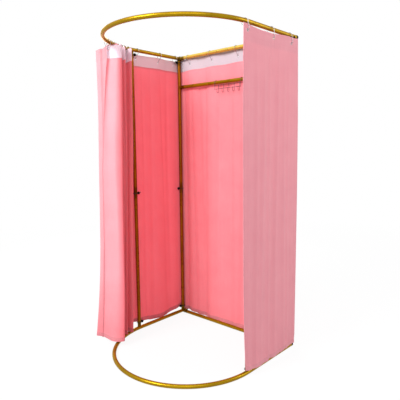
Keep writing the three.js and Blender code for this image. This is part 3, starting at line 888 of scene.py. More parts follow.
# %% Ties
HEMS = {"left": 0.044, "right": 0.014}
TIE_ALONG, TIE_OUT, TIE_CORD, TIE_START = 0.018, 0.0155, 0.0015, 0.12
BALL, BALL_MOUTH, BALL_TURN = 0.010, 0.0016, 0.24
KNOT = ((-0.001, 0, 0), (0.003, 0, 0), (0.005, 0.003, 0.003), (0.003, 0.006, 0.007))
BALL_OUTLINE = [
    (0, -BALL + 0.0006), (BALL_MOUTH, -BALL + 0.0005),
    *[(BALL * math.sin(a), -BALL * math.cos(a))
      for a in np.linspace(BALL_TURN, math.pi - BALL_TURN, 21)],
    (BALL_MOUTH, BALL - 0.0005), (0, BALL - 0.0006)]


def tie_heights(label):
    low = max(HEMS[label] + 0.010, 2 * TUBE + BALL + GAP)
    high = PANEL_TOP - 0.017
    return [low + (high - low) * share for share in (0, 0.5, 1)]


def tie(name, x, y, height):
    side, towards = math.copysign(1, x), (-1 if y > -0.2 else 1)
    loop = [Vector((x + side * TIE_OUT * math.sin(angle),
                    y + towards * TIE_ALONG * math.cos(angle), height))
            for angle in np.linspace(TIE_START, 2 * math.pi - TIE_START, 44)]
    centre = Vector((x, y + towards * (TIE_ALONG + BALL - TIE_CORD), height))
    out = Vector((0, towards, 0))
    knot = [centre + out * (BALL + on) + Vector((-side * aside, 0, up)) for on, aside, up in KNOT]
    cord = rod(f"{name}_cord", [(loop, 1.0), (knot, 1.0)], TIE_CORD, ELASTIC, sides=10)
    ball = copies(f"{name}_ball", turned_mesh("ball", BALL_OUTLINE, 28), [(centre, out)], PLASTIC)
    for piece in (cord, ball):
        settle(piece, "frame", "tie", f"{name}_tie")


for name, (x, y) in POSTS.items():
    for level, height in zip(("lower", "middle", "upper"), tie_heights(name.split("_")[1])):
        tie(f"{name}_{level}", x, y, height)
print("tie heights on the left:", [round(z, 3) for z in tie_heights("left")])

# %% [markdown]
# The sewn loops are all alike: a folded strip of cloth round the cord, drawn as a
# closed outline seen from the end and given a width along the panel.

# %% Sewn loops
LOOP_WIDTH, LOOP_THICKNESS, LOOP_TURN = 0.014, 0.0008, 2.5


def sewn_loop_mesh():
    """Local Z points from the cord to the panel, X is up or down, Y along the panel."""
    reach = SIDE_OUT - TIE_OUT - 0.0011
    inner_radius = TIE_CORD + 0.0002

    def face(radius, foot):
        bend = [(radius * math.sin(a), -radius * math.cos(a))
                for a in np.linspace(-LOOP_TURN, LOOP_TURN, 15)]
        return [(-foot, reach), *bend, (foot, reach)]

    inner, outer = face(inner_radius, 0.0035), face(inner_radius + LOOP_THICKNESS, 0.0050)
    outline = outer + inner[::-1]
    count = len(outline)
    spots = [(x, way * LOOP_WIDTH / 2, z) for way in (-1, 1) for x, z in outline]
    faces = [[i, (i + 1) % count, count + (i + 1) % count, count + i] for i in range(count)]
    for shift in (0, count):
        for i in range(len(outer) - 1):
            faces.append([shift + i, shift + i + 1, shift + count - 2 - i, shift + count - 1 - i])
    mesh = bpy.data.meshes.new("sewn_loop")
    mesh.from_pydata(spots, [], faces)
    fixed = bmesh.new()
    fixed.from_mesh(mesh)
    bmesh.ops.recalc_face_normals(fixed, faces=fixed.faces)
    fixed.to_mesh(mesh)
    fixed.free()
    return mesh


for label, side in SIDES.items():
    places = [(Vector((x + side * TIE_OUT, y, z)), (side, 0, 0))
              for name, (x, y) in POSTS.items() if label in name for z in tie_heights(label)]
    loops = copies(f"{label}_sewn_loops", sewn_loop_mesh(), places, LOOP_CLOTH)
    settle(loops, "frame", "cloth")
print("sewn loops of cloth round the cords,", len(places), "a side")

# %% [markdown]
# The hook rack is welded from one gauge of wire. Two hangers bend over the rail,
# two long wires join them, and five hooks hang from those. All of them are paths
# of one rod, and wherever a wire bends there is a half circle of points.

# %% Hook rack
RACK_WIRE, RACK_LEFT, HOOK_PITCH, WELD = 0.0015, -0.122, 0.046, 0.0019
HOOK_XS = [RACK_LEFT + 0.038 + i * HOOK_PITCH for i in range(5)]
RACK_RIGHT = HOOK_XS[-1] + 0.006
RACK_OVER, RACK_OUT = TUBE + RACK_WIRE + 0.0002, 0.01526
WIRES_OUT, HOOKS_OUT = RACK_OUT + WELD, RACK_OUT + 2 * WELD
HOOK_BEND, HOOK_LOW, WIRE_DROPS, WIRE_OVERHANG = 0.009, 0.075, (0.021, 0.047), 0.003


def rack_points(x, spots):
    """Points at one X; a spot is (distance out from the rail, drop below it)."""
    return [Vector((x, -out, HANGING_RAIL_Z - drop)) for out, drop in spots]


over_rail = [(-RACK_OVER * math.cos(a), -RACK_OVER * math.sin(a))
             for a in np.linspace(0, math.pi, 25)]
hanger = [(-RACK_OVER, 0.004), *over_rail, (RACK_OUT, 0.014), (RACK_OUT, 0.050)]
bend = [(HOOKS_OUT + HOOK_BEND * (1 - math.cos(a)), HOOK_LOW - HOOK_BEND * (1 - math.sin(a)))
        for a in np.linspace(0, math.pi, 17)]
hook = [(HOOKS_OUT, 0.018), *bend, (HOOKS_OUT + 2 * HOOK_BEND, WIRE_DROPS[1])]
paths = [rack_points(x, hanger) for x in (RACK_LEFT, RACK_RIGHT)]
paths += [[rack_points(x, [(WIRES_OUT, drop)])[0]
           for x in (RACK_LEFT - WIRE_OVERHANG, RACK_RIGHT + WIRE_OVERHANG)] for drop in WIRE_DROPS]
paths += [rack_points(x, hook) for x in HOOK_XS]
rack = rod("hook_rack_wires", [(path, 1.0) for path in paths], RACK_WIRE, SHADED_PINK_WIRE, sides=12)
settle(rack, "rack", "rack_wire", "hook_rack")
print("hooks at x =", [round(x, 3) for x in HOOK_XS])

# %% [markdown]
# Every cloth is described by one rule: a point for a place across the cloth and a height. From it
# comes a grid of points, denser where an eyelet needs a hole, and each point carries two values for
# the material: how much of a hem it is, which also darkens its colour as painted shade, and how
# much of the outside tone it shows. On the curtain the outside tone is a paler tone that is painted
# light: it also covers the leading part, and it is weaker near the floor, which is painted shade.

# %% Grids, hems and tones
BAND_LOW = PANEL_TOP - 0.084
HEM_SLOPE, HEM_THICKER = 0.003, 0.9
# The curtain's lit tone is painted light that ramps in along the cloth; near the floor painted
# shade takes part of it away.
LIT_TONE_RAMP, FLOOR_SHADE_BELOW, FLOOR_SHADE_SHARE = 0.03, 0.45, 0.6


def grid_lines(start, end, marks, step):
    """Places from start to end that include every mark, about a step apart."""
    fixed = sorted({start, end, *[m for m in marks if start < m < end]})
    lines = [start]
    for low, high in zip(fixed, fixed[1:]):
        count = max(1, round((high - low) / step))
        lines += [low + (high - low) * (i + 1) / count for i in range(count)]
    return np.array(lines)


def clamped(value):
    return np.clip(value, 0, 1)


def nearest(lines, value):
    return int(np.argmin(abs(lines - value)))


def inward_normals(points):
    """Unit normals on the room's side of a grid (rows up, columns to the left of it)."""
    normal = np.cross(np.gradient(points, axis=0), np.gradient(points, axis=1))
    return normal / np.linalg.norm(normal, axis=2, keepdims=True)


def hem_shares(us, zs, side_hem, low_hem):
    """1 in the hems and the header and 0 elsewhere, with a short slope at the hems."""
    edge = np.minimum(us - us[0], us[-1] - us)[None, :]
    side, low = (clamped((width - distance) / HEM_SLOPE + 0.5)
                 for width, distance in ((side_hem, edge), (low_hem, (zs - zs[0])[:, None])))
    hems = np.maximum(side, low)
    hems[zs >= BAND_LOW] = 1.0
    return hems


def outside_and_lit_shares(us, zs, lit_tone_from):
    """The outside tone on the outer and the inner layer of points; on the curtain it is painted
    light, on the leading part too, and less of it near the floor is painted shade.
    """
    if lit_tone_from is None:
        return np.repeat([1.0, 0.0], len(us) * len(zs))
    up = 1 - FLOOR_SHADE_SHARE * clamped((FLOOR_SHADE_BELOW - zs) / FLOOR_SHADE_BELOW)
    up = np.repeat(up, len(us))
    lead = np.tile(clamped((us - lit_tone_from) / LIT_TONE_RAMP), len(zs))
    return np.concatenate([up, up * lead])


print("hems are", 1 + HEM_THICKER, "times as thick as the rest")

# %% [markdown]
# The grid gets its thickness here rather than from a modifier, so that the hems
# can be thicker than the rest. The sheet is closed: it has an outer and an inner
# face, and a rim round its edge and round every hole. Its UV map is in metres.

# %% A closed sheet of cloth
def cloth_mesh(name, points, us, zs, thickness, hems, holes, offset=0.0, lit_tone_from=None):
    """A closed sheet round a grid of points; holes are (u, z, half width)."""
    normal = inward_normals(points)
    thick = (thickness / 2 * (1 + HEM_THICKER * hems))[:, :, None]
    middle = points + normal * offset
    spots = np.concatenate([(middle + way * normal * thick).reshape(-1, 3) for way in (-1, 1)])
    rows, columns = len(zs), len(us)
    keep = np.ones((rows - 1, columns - 1), bool)
    mid_u, mid_z = (us[:-1] + us[1:]) / 2, (zs[:-1] + zs[1:]) / 2
    for u, z, half in holes:
        keep &= ~((abs(mid_z - z) < half)[:, None] & (abs(mid_u - u) < half)[None, :])
    index = np.arange(rows * columns).reshape(rows, columns)
    corners = (index[:-1, :-1], index[:-1, 1:], index[1:, 1:], index[1:, :-1])
    outer = np.stack([corner[keep] for corner in corners], 1)
    far = rows * columns
    inner = outer[:, ::-1] + far
    edges = {}
    for quad in outer.tolist():
        for first, second in zip(quad, quad[1:] + quad[:1]):
            if not edges.pop((second, first), None):
                edges[(first, second)] = True
    rim = [[second, first, first + far, second + far] for first, second in edges]
    faces = np.array(outer.tolist() + inner.tolist() + rim)
    used = np.unique(faces)
    new_index = np.full(2 * far, -1)
    new_index[used] = np.arange(len(used))
    mesh = bpy.data.meshes.new(name)
    mesh.from_pydata(spots[used].tolist(), [], new_index[faces].tolist())
    place = np.tile(np.stack(np.meshgrid(us, zs), 2).reshape(-1, 2), (2, 1))[used]
    loops = np.zeros(len(mesh.loops), np.int32)
    mesh.loops.foreach_get("vertex_index", loops)
    mesh.uv_layers.new(name="cloth").data.foreach_set("uv", place[loops].reshape(-1))
    for label, values in (("hem", np.tile(hems.reshape(-1), 2)),
                          ("outside", outside_and_lit_shares(us, zs, lit_tone_from))):
        mesh.attributes.new(label, "FLOAT", "POINT").data.foreach_set("value", values[used])
    shade(mesh, 60)
    return mesh


def flat_size(points):
    """The mean width and height of the cloth, measured along it."""
    width, height = (np.linalg.norm(np.diff(points, axis=axis), axis=2).sum(axis).mean()
                     for axis in (1, 0))
    return float(width), float(height)


print("cloth helpers ready")

# %% [markdown]
# Seams and eyelets follow the cloth. A stitch is a short rod with tapered ends;
# a third tree sets one every few millimetres along a seam line and turns it the
# way the line runs. An eyelet is a rolled washer of a few turned points. Thread
# has the colour of its cloth, a little deeper.

# %% Stitches and eyelets
STITCH_PITCH, STITCH_SHARE, THREAD = 0.0045, 0.8, 0.00035
EYELET_INNER, EYELET_OUTER, EYELET_HALF = 0.0048, 0.0088, 0.0016
EYELET = [((EYELET_INNER + EYELET_OUTER) / 2 - (EYELET_OUTER - EYELET_INNER) / 2 * math.cos(a),
           EYELET_HALF * math.sin(a)) for a in np.linspace(0, 2 * math.pi, 14, endpoint=False)]


def stitch_tree():
    tree, given = new_tree("stitches_on_line", pitch=("Float", 0.004), length=("Float", 0.003),
                           thread=("Float", 0.0003), material=("Material", None))
    places = add(tree, "GeometryNodeCurveToPoints",
                 {"Curve": given["Geometry"], "Length": given["pitch"]}, mode="LENGTH").outputs
    half = add(tree, "GeometryNodeMeshCone", {
        "Vertices": 6, "Radius Top": 0.0, "Radius Bottom": 1.0, "Depth": 0.5}, fill_type="NONE")
    mirrored = add(tree, "GeometryNodeTransform",
                   {"Geometry": half.outputs[0], "Rotation": (math.pi, 0, 0)})
    both = add(tree, "GeometryNodeJoinGeometry")
    for part in (half, mirrored):
        tree.links.new(part.outputs[0], both.inputs[0])
    merged = add(tree, "GeometryNodeMergeByDistance",
                 {"Geometry": both.outputs[0], "Distance": 0.01})
    size = add(tree, "ShaderNodeCombineXYZ",
               {"X": given["thread"], "Y": given["thread"], "Z": given["length"]})
    turned = add(tree, "FunctionNodeAlignRotationToVector", {"Vector": places["Tangent"]}, axis="Z")
    placed = add(tree, "GeometryNodeInstanceOnPoints", {
        "Points": places["Points"], "Instance": merged.outputs[0],
        "Rotation": turned.outputs[0], "Scale": size.outputs[0]})
    return finish_tree(tree, placed.outputs[0], given["material"])


STITCHES = stitch_tree()


def stitches(name, lines, material):
    source = paths_object(name, [([Vector(p) for p in line], 1.0) for line in lines])
    use_tree(source, STITCHES, pitch=STITCH_PITCH, length=STITCH_PITCH * STITCH_SHARE,
             thread=THREAD, material=material)
    return plain_mesh(name, source)


print("eyelet outer radius", max(r for r, _ in EYELET))

# %% [markdown]
# One helper dresses any cloth: the sheet with its holes, a pale header band on
# the room's side of its top, places for eyelets in the holes, and stitches along
# the band and the hems.

# %% Dress a cloth
CLOTH, TAPE, HOLE = 0.0009, 0.0006, 0.0045
CLOTH_FACE = CLOTH * 0.95 + 0.0002
TAPE_MIDDLE, TAPE_FACE = CLOTH_FACE + TAPE / 2, CLOTH_FACE + TAPE + 0.0002
ROW_STEP, LOW_HEM, SIDE_HEM, HEM_MARK = 0.016, 0.028, 0.012, 0.0015


def around_hole(grid, us, zs, u):
    """The sum of a grid's four corners of an eyelet's hole."""
    rows, columns = ([nearest(lines, value + way * HOLE) for way in (-1, 1)]
                     for lines, value in ((zs, EYELET_Z), (us, u)))
    return sum((Vector(grid[i, j]) for i in rows for j in columns), Vector())


def dress(name, rule, width, hem, top, material, eyelets, step, tape,
          side_hem=SIDE_HEM, lit_tone_from=None):
    """Makes the pieces of a cloth; rule(us, zs) gives its grid of points."""
    holes = [(u, EYELET_Z, HOLE) for u in eyelets]
    mark_u = [u + way * HOLE for u in eyelets for way in (-1, 1)]
    mark_u += [at + way * HEM_MARK for at in (side_hem, width - side_hem) for way in (-1, 1)]
    mark_z = [EYELET_Z - HOLE, EYELET_Z + HOLE, BAND_LOW, hem + LOW_HEM - HEM_MARK,
              hem + LOW_HEM + HEM_MARK, top - 0.003]
    us, zs = grid_lines(0.0, width, mark_u, step), grid_lines(hem, top, mark_z, ROW_STEP)
    points = rule(us, zs)
    normal = inward_normals(points)
    rows = zs >= BAND_LOW - 1e-6
    sheet = cloth_mesh(name, points, us, zs, CLOTH, hem_shares(us, zs, side_hem, LOW_HEM), holes,
                       lit_tone_from=lit_tone_from)
    header = cloth_mesh(f"{name}_header", points[rows], us, zs[rows], TAPE,
                        np.zeros((rows.sum(), len(us))), holes, offset=TAPE_MIDDLE)
    for mesh, paint in ((sheet, material), (header, tape)):
        mesh.materials.append(paint)
    faces = {way: points + normal * way * CLOTH_FACE for way in (-1, 1)}
    tape_face = points + normal * TAPE_FACE
    band_row, below = nearest(zs, BAND_LOW) + 1, zs < BAND_LOW
    pink = [face[nearest(zs, hem + LOW_HEM - 0.004)] for face in faces.values()]
    for at in (side_hem - 0.002, width - side_hem + 0.002):
        pink += [face[below, nearest(us, at)] for face in faces.values()]
    pink.append(faces[-1][band_row])
    return {
        "sheet": show(bpy.data.objects.new(name, sheet)),
        "header": show(bpy.data.objects.new(f"{name}_header", header)),
        "seams": stitches(f"{name}_seams", pink, PINK_THREAD),
        "header_seams": stitches(f"{name}_header_seams",
                                 [tape_face[r] for r in (band_row, len(zs) - 2)], WHITE_THREAD),
        "eyelets": [(around_hole(points, us, zs, u) / 4,
                     around_hole(normal, us, zs, u).normalized()) for u in eyelets],
        "flat": flat_size(points), "header_flat": flat_size(points[rows]),
    }


print("cloth thickness", CLOTH, "and tape thickness", TAPE)

# %% [markdown]
# Two more helpers make the eyelets and hold the pieces of a cloth. How they are held differs: a
# fixed panel rides on the frame, the curtain is baked in place.

# %% Eyelets, and how a cloth hangs
def eyelet_piece(name, places, body):
    eyelets = copies(name, turned_mesh("eyelet", EYELET, 28), places, NICKEL)
    return settle(eyelets, body, "ring_wire")


def hang(made, node, hold):
    """Holds each of a cloth's pieces by hold(piece) and hides the solids that they replace."""
    sheet, header = made["sheet"], made["header"]
    extras = [header, made["seams"], made["header_seams"]]
    for piece, slot in zip((sheet, *extras), ("cloth", "header_band", "cloth", "header_band")):
        hold(piece)
    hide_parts(node)
    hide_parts(f"{node}_band")
    print(sheet.name, len(sheet.data.polygons), "faces, flat", [round(v, 3) for v in made["flat"]])


print("the cloths' helpers are ready")

# %% [markdown]
# A fixed panel is held at its rings and, on the sides, at the posts. Between those
# places it swells outwards. To this the rule adds what slack cloth does: a top
# edge that droops between the rings, a few narrow folds that start under the rings
# and wander as they fall, small puckers along the hem, and a hem that rises and
# dips as it does in the photograph.

# %% The rule for a fixed panel
EDGE_REACH, TOP_REACH, HEM_REACH = 0.16, 0.35, 0.5


def bell(x, width):
    return np.exp(-((x / width) ** 2))


def between_marks(us, *marks):
    """For each place the share of the way between its two marks, and their distance."""
    marks = np.array(sorted(set(marks)))
    slot = np.clip(np.searchsorted(marks, us) - 1, 0, len(marks) - 2)
    low, high = marks[slot], marks[slot + 1]
    return (us - low) / (high - low), (high - low) / np.diff(marks).max()


def swell_out(panel, u, z, fall):
    """How far each point stands out from the line between the rings."""
    width, rings, posts = panel["width"], panel["rings"], panel["posts"]
    wander = 0.008 * np.sin(2.4 * fall + 3.0) * fall
    share, span = between_marks(np.clip(u + wander, 0, width), 0.0, *rings, *posts, width)
    out = panel["swell"] * span * np.sin(math.pi * share) ** 2
    out = out * (0.8 + 0.35 * np.sin(math.pi * fall))
    for place, size, reach, drift in panel["folds"]:
        centre = place + drift * fall + 0.010 * np.sin(3.3 * fall + 9 * place)
        out += size * np.clip(fall * 5, 0.15, 1) * bell(u - centre, reach * (0.6 + 0.6 * fall))
    calm = np.ones_like(u)
    for place in rings:
        pinch = bell(u - place, 0.010 + 0.10 * fall) * bell(z - EYELET_Z, 0.10)
        out += 0.0022 * pinch * np.cos((u - place) * 260)
        calm *= 1 - bell(u - place, 0.016) * bell(z - EYELET_Z, 0.02)
    for place in posts:
        calm *= 1 - 0.9 * bell(u - place, 0.018)
    out = np.maximum(out * calm, -0.0012)
    puckers = np.sin(u * 190 + 4 * np.sin(u * 37) + (z - panel["hem"]) * 60) * np.sin(u * 19) ** 2
    out += 0.0026 * bell(z - panel["hem"], 0.06) * puckers
    return out + 0.0005 * np.sin(u * 71 + 6 * fall) * np.sin(math.pi * fall)


def panel_points(panel, us, zs):
    """Grid points of a panel: its line in plan, its swell outwards, its heights."""
    u, z = np.meshgrid(us, zs)
    width, top, hem = panel["width"], panel["top"], panel["hem"]
    out = swell_out(panel, u, z, clamped((top - z) / (top - hem)))
    top_share, _ = between_marks(us, 0.0, *panel["rings"], width)
    droop = np.interp(us, *panel["top_line"]) - 0.002 * np.sin(math.pi * top_share) ** 2
    at_ring = clamped(sum(bell(us - place, 0.02) for place in panel["rings"]))
    keep_eyelets = 1 - at_ring * bell(z - EYELET_Z, 0.02)
    near_top = clamped(1 - (top - z) / TOP_REACH) ** 2
    near_hem = clamped(1 - (z - hem) / HEM_REACH) ** 2
    hem_rise = np.interp(us, *panel["hem_line"]) - hem + 0.0010 * np.sin(us * 47 + 1)
    slide = sum(np.interp(z, *panel[line]) * clamped(1 - away / EDGE_REACH) ** 2
                for line, away in (("edge_line", u), ("end_line", width - u)))
    place = panel["start"] + (u + slide)[..., None] * panel["along"]
    place = place + out[..., None] * panel["outward"]
    place[..., 2] = z + droop * near_top * keep_eyelets + hem_rise * near_hem
    return place


print("panel rule ready")

# %% [markdown]
# The side panels hang outside the posts. Their line starts at the back on the
# left and at the front on the right, so that the room is always on the left of
# the line and the white band comes out on the inside of both. The back panel is
# wider and nothing ties it to the posts: it reaches behind both corner posts, and
# swells more. Places along a side panel are given in Y, those of the back one in
# X. A fold is (place, depth, reach, drift), and a line is a list of heights.

# %% Fixed panels
SIDE_TOP, BACK_HEM = PANEL_TOP - 0.008, 0.026
STRAIGHT = ([0.0, 2.0], [0.0, 0.0])


def fixed_panel(label, axis, begin, end, out, rail, cloth, tape, step, top, hem, posts, swell,
                folds, top_line, hem_line, edge_line=STRAIGHT, end_line=STRAIGHT):
    """A panel from begin to end on one axis, at a distance out on the other one."""
    way = math.copysign(1, end - begin)
    start, along, outward = np.zeros((3, 3))
    start[axis], start[1 - axis] = begin, out
    along[axis], outward[1 - axis] = way, math.copysign(1, out)

    def to_u(place):
        return (place - begin) * way

    def line_along(points):
        return np.array(sorted((to_u(place), value) for place, value in points)).T

    panel = {
        "start": start, "along": along, "outward": outward, "width": abs(end - begin),
        "top": top, "hem": hem, "rings": [to_u(spot) for spot in RING_SPOTS[label]],
        "posts": [to_u(spot) for spot in posts], "swell": swell,
        "folds": [(to_u(place), *rest) for place, *rest in folds],
        "top_line": line_along(top_line), "hem_line": line_along(hem_line),
        "edge_line": edge_line, "end_line": end_line,
    }
    made = dress(f"{label}_cloth", lambda us, zs: panel_points(panel, us, zs), panel["width"], hem,
                 top, cloth, panel["rings"], step, tape)
    eyelets = eyelet_piece(f"{label}_cloth_eyelets", made["eyelets"], "frame")
    hang(made, f"{label}_panel", lambda piece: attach(piece, "frame"))


SIDE = {"axis": 1, "step": 0.0065, "top": SIDE_TOP, "posts": (0.0, FRONT_POST_Y), "swell": 0.0075}
# The left panel's header takes the greyer copy of the tape, which is painted shade.
fixed_panel(
    "left", begin=ARM_END, end=PANEL_FRONT["left"], out=-HALF_WIDTH - SIDE_OUT,
    rail="top_left_loop", cloth=INNER_PINK, tape=SHADED_TAPE, hem=HEMS["left"], **SIDE,
    folds=[(-0.10, 0.0055, 0.022, 0.02), (-0.17, 0.0050, 0.018, -0.02),
           (-0.27, 0.0065, 0.024, 0.02), (-0.36, 0.0055, 0.020, -0.01)],
    top_line=[(0.042, 0.0), (-0.03, -0.001), (-0.18, 0.003), (-0.30, 0.002), (-0.41, -0.004),
              (-0.52, -0.006)],
    hem_line=[(0.042, 0.044), (-0.01, 0.043), (-0.054, 0.038), (-0.10, 0.028), (-0.147, 0.020),
              (-0.24, 0.015), (-0.29, 0.020), (-0.331, 0.028), (-0.38, 0.040), (-0.454, 0.053),
              (-0.52, 0.064)])
fixed_panel(
    "right", begin=PANEL_FRONT["right"], end=ARM_END, out=HALF_WIDTH + SIDE_OUT,
    rail="top_right_loop", cloth=OUTER_PINK, tape=WHITE_TAPE, hem=HEMS["right"], **SIDE,
    folds=[(-0.485, 0.0050, 0.008, 0.005), (-0.42, 0.0085, 0.018, 0.02),
           (-0.35, 0.0080, 0.020, -0.01), (-0.29, 0.0065, 0.014, 0.02),
           (-0.19, 0.0090, 0.022, -0.02), (-0.13, 0.0065, 0.016, 0.02),
           (-0.07, 0.0055, 0.014, 0.00), (0.01, 0.0040, 0.010, 0.00)],
    top_line=[(-0.517, 0.002), (-0.494, 0.004), (-0.45, -0.004), (-0.376, -0.010),
              (-0.258, -0.009), (-0.12, 0.004), (0.0, 0.007), (0.042, 0.009)],
    hem_line=[(-0.517, 0.044), (-0.498, 0.041), (-0.46, 0.034), (-0.421, 0.032), (-0.329, 0.028),
              (-0.237, 0.026), (-0.146, 0.028), (-0.054, 0.030), (0.0, 0.031), (0.042, 0.031)],
    edge_line=([0.0, 0.10, 0.30, 0.60, 1.50, 1.80, 2.0],
               [0.020, 0.013, 0.002, -0.006, -0.014, -0.010, -0.006]),
    end_line=([0.0, 0.5, 1.0, 1.5, 1.974], [0.0, 0.003, 0.006, 0.0, -0.015]))
# The back panel's cloth is the paler copy of the coral: painted light.
fixed_panel(
    "back", 0, BACK_HALF, -BACK_HALF, BACK_OUT, "top_back_bar", LIT_BACK_PINK, SHADED_PINK_TAPE,
    step=0.0075, top=PANEL_TOP, hem=BACK_HEM, posts=(), swell=0.0145,
    folds=[(-0.45, 0.006, 0.016, 0.01), (-0.38, 0.007, 0.014, -0.01), (-0.31, 0.009, 0.022, -0.02),
           (-0.24, 0.006, 0.018, 0.02), (-0.12, 0.009, 0.024, 0.02), (-0.02, 0.006, 0.018, -0.02),
           (0.10, 0.008, 0.022, 0.02), (0.19, 0.006, 0.018, -0.02), (0.29, 0.009, 0.022, 0.02),
           (0.36, 0.006, 0.018, -0.01), (0.45, 0.006, 0.016, 0.0)],
    top_line=[(-0.492, 0.0), (-0.44, 0.008), (-0.36, 0.013), (0.492, 0.013)],
    hem_line=[(-0.492, 0.018), (-0.46, 0.020), (-0.43, 0.023), (-0.382, 0.0185), (-0.328, 0.010),
              (-0.222, 0.005), (-0.074, 0.006), (0.094, 0.009), (0.40, 0.012), (0.492, 0.014)])

# %% [markdown]
# The front curtain is gathered at the left. In plan it is one smooth line that
# swings in and out of the rail between its rings. The line is drawn through named
# angles round the arc and depths out of it, with a spline that leaves no loops at
# sharp turns. Each fold's tip is drawn by three points: two shoulders and the tip.

# %% The gathered line in plan
LOOP_ANGLES = [7.6, 11.6, 15.6, 19.4, 23.3, 28.6, 32.4]
LOOP_DEPTHS = [-0.046, 0.046, -0.044, 0.062, -0.054, 0.104, -0.086]
STEP_WAYS = [1, 1, 1, 1, 1, 1, -1, 1]
STEP, STEP_DEPTH = 0.007, 0.005
SHOULDERS = 6 * [(0.009, 0.72)] + [(0.023, 0.74)]
PER_SPAN = 24


def gather_points():
    """(angle in radians, depth) of each point that the line goes through."""
    points = []
    for i, angle in enumerate(CURTAIN_ANGLES):
        before = math.copysign(STEP_DEPTH, LOOP_DEPTHS[i - 1]) if i else STEP_DEPTH
        step = STEP * STEP_WAYS[i] / HALF_WIDTH
        points += [(angle - step, before), (angle + step, -before)]
        if i < len(LOOP_ANGLES):
            middle, depth = math.radians(LOOP_ANGLES[i]), LOOP_DEPTHS[i]
            half, share = SHOULDERS[i]
            points += [(middle + way * half / HALF_WIDTH, depth * (1 if way == 0 else share))
                       for way in (-1, 0, 1)]
    return points


def smooth_line(points):
    """A centripetal Catmull-Rom line through points in the plane."""
    p = np.array(points, float)
    p = np.vstack([2 * p[0] - p[1], p, 2 * p[-1] - p[-2]])
    line = []
    for i in range(1, len(p) - 2):
        a, b, c, d = p[i - 1 : i + 3]
        k0, k1, k2 = (max(np.linalg.norm(q - r) ** 0.5, 1e-6) for q, r in ((b, a), (c, b), (d, c)))
        m1 = ((b - a) / k0 - (c - a) / (k0 + k1) + (c - b) / k1) * k1
        m2 = ((c - b) / k1 - (d - b) / (k1 + k2) + (d - c) / k2) * k1
        for t in np.linspace(0, 1, PER_SPAN, endpoint=False):
            line.append(b + m1 * t + (3 * (c - b) - 2 * m1 - m2) * t**2
                        + (2 * (b - c) + m1 + m2) * t**3)
    line.append(p[-2])
    return np.array(line)


PLAN = smooth_line([tuple(arc_point(-1, a, d, 0))[:2] for a, d in gather_points()])
PLAN_LENGTH = np.concatenate([[0], np.cumsum(np.linalg.norm(np.diff(PLAN, axis=0), axis=1))])
CURTAIN_WIDTH = float(PLAN_LENGTH[-1])


def place_at(span):
    """How far along the line a span's start lies."""
    return float(PLAN_LENGTH[int(span * PER_SPAN)])


RING_PLACES = [place_at(5 * i + 0.5) for i in range(8)]
print("curtain width", round(CURTAIN_WIDTH, 3), "rings at", [round(v, 3) for v in RING_PLACES])

# %% [markdown]
# Lower down the gathered cloth spreads. The folds by the post are pushed forward,
# the leading folds flare outwards and turn towards the hem, the outer tips of the
# folds droop a little at the top, and every fold wanders slightly as it falls, so
# that no two look alike. A lean is how far the cloth stands out from the rail, and
# a shift is how far it moves along the rail.

# %% The rule for the curtain
CURTAIN_HEM, CURTAIN_SAG = 0.030, 0.028
INNER_LEAN, OUTER_LEAN = 0.025, 0.095
START_SHIFT, INNER_SHIFT, OUTER_SHIFT = 0.075, 0.045, -0.030
CREASE, LEAD_START = place_at(29.15), place_at(33)
LEAD_LEAN, LEAD_SHIFT, LEAD_PUSH, LEAD_PULL = 0.056, -0.019, 0.004, 0.014
TAIL_LEAN, TAIL_SHIFT = 0.004, -0.012
INNER_RISE, LEAD_RISE, INNER_SEAM_RISE, LEAD_SEAM_RISE = 0.010, -0.013, 0.012, -0.007


def spread(u, z, depth, angle, drop, free):
    """How far each point leans out and how far it shifts along the rail."""
    angle_share = clamped(angle / CURTAIN_ANGLES[-1])
    depth_share = clamped(1 - depth / min(LOOP_DEPTHS))
    flare = drop**3 * angle_share
    lean = (INNER_LEAN + (OUTER_LEAN - INNER_LEAN) * depth_share) * flare
    shift = (START_SHIFT * (1 - angle_share) * drop
             + (INNER_SHIFT + (OUTER_SHIFT - INNER_SHIFT) * depth_share) * flare * angle_share)
    lead = clamped((u - LEAD_START) / (CURTAIN_WIDTH - LEAD_START))
    tuck = clamped((EYELET_Z - 0.05 - z) / 0.7) ** 0.8 * (1 - 0.45 * drop**2)
    pull = clamped(drop / 0.3) * clamped(1 - abs(u - LEAD_START) / 0.12)
    tail = free * clamped((u - RING_PLACES[-1] + 0.008) / 0.016)
    lean = lean + LEAD_LEAN * lead * tuck + LEAD_PULL * pull + TAIL_LEAN * tail
    shift = shift + lead * (LEAD_SHIFT * drop**2 + LEAD_PUSH * tuck * (1 - drop))
    shift = shift + TAIL_SHIFT * tail * (1 - 0.6 * drop**2)
    return lean, shift + 0.010 * bell(u - CREASE, 0.012) * clamped(2.2 - 2.4 * drop)


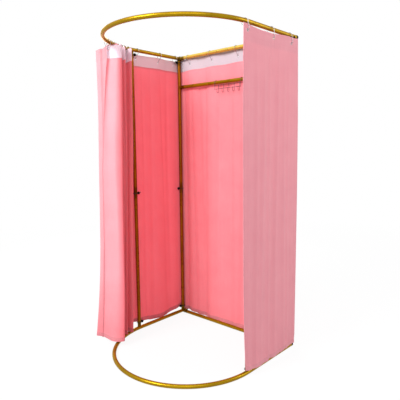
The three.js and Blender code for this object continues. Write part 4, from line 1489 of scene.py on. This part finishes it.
def rise_and_sag(u, z, depth, drop):
    """How far each point's height differs from its height on the flat cloth."""
    outer = clamped((depth - 0.008) / 0.042)
    depth_part = 0.4 * depth.clip(0) / max(LOOP_DEPTHS)
    sag = CURTAIN_SAG * (0.6 * outer**2 * (3 - 2 * outer) + depth_part) * (1 - drop)
    hem_wave = (0.002 * np.sin(u * 23) - 0.007) * drop
    hem_wave = hem_wave + 0.012 * bell(u - LEAD_START, 0.05) * drop**3
    inner = clamped(-depth / 0.05) * (u < LEAD_START - 0.05)
    leading = clamped((u - LEAD_START) / 0.03 + 1.5)
    above, by_seam = clamped((z - EYELET_Z - 0.004) / 0.025), clamped(1 - abs(z - BAND_LOW) / 0.07)
    rise = (above * (INNER_RISE * inner + LEAD_RISE * leading)
            + by_seam * (INNER_SEAM_RISE * inner + LEAD_SEAM_RISE * leading))
    return hem_wave + rise - sag


def curtain_points(us, zs):
    x, y = (np.interp(us, PLAN_LENGTH, PLAN[:, axis]) for axis in (0, 1))
    radius = np.hypot(x - ARC_CENTRE.x, y - ARC_CENTRE.y)[None, :]
    angle = np.arctan2(ARC_CENTRE.y - y, ARC_CENTRE.x - x)[None, :]
    z, u = zs[:, None], us[None, :]
    drop = clamped((BAND_LOW - z) / (BAND_LOW - CURTAIN_HEM))
    free = clamped((EYELET_Z - 0.03 - z) / 0.5)
    depth = radius - HALF_WIDTH
    lean, shift = spread(u, z, depth, angle, drop, free)
    wander = free * clamped(abs(depth) / 0.05)
    angle = angle + shift / HALF_WIDTH + 0.008 * wander * np.sin(1.7 * math.pi * drop + 41 * u)
    out = (radius + lean + 0.0045 * wander * np.sin(2.6 * drop * math.pi + 52 * u)
           + 0.0012 * np.sin(u * 160 + 6 * drop) * free)
    height = z + rise_and_sag(u, z, depth, drop)
    x, y = ARC_CENTRE.x - out * np.cos(angle), ARC_CENTRE.y - out * np.sin(angle)
    return np.stack([x, y, height], 2)


print("leading part of the curtain from", round(LEAD_START, 3), "m along it")

# %% [markdown]
# The curtain is dressed like the panels, with narrower hems at its sides. Its pieces are baked in
# place, and each of its eyelets goes with a ring of its own.

# %% The front curtain
# From the leading part on, the curtain's paler tone is painted light.
made = dress("front_curtain_cloth", curtain_points, CURTAIN_WIDTH, CURTAIN_HEM, PANEL_TOP,
             CURTAIN_PINK, RING_PLACES, 0.0055, WHITE_TAPE, side_hem=0.005,
             lit_tone_from=LEAD_START + 0.008)
curtain_eyelets = [eyelet_piece(f"front_curtain_eyelet_{i}", [place], body)
                   for i, (place, body) in enumerate(zip(made["eyelets"], RUNNERS), 1)]
hang(made, "front_curtain",
     lambda piece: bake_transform(piece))

# %% Finish
bpy.context.scene.view_settings.view_transform = "Standard"
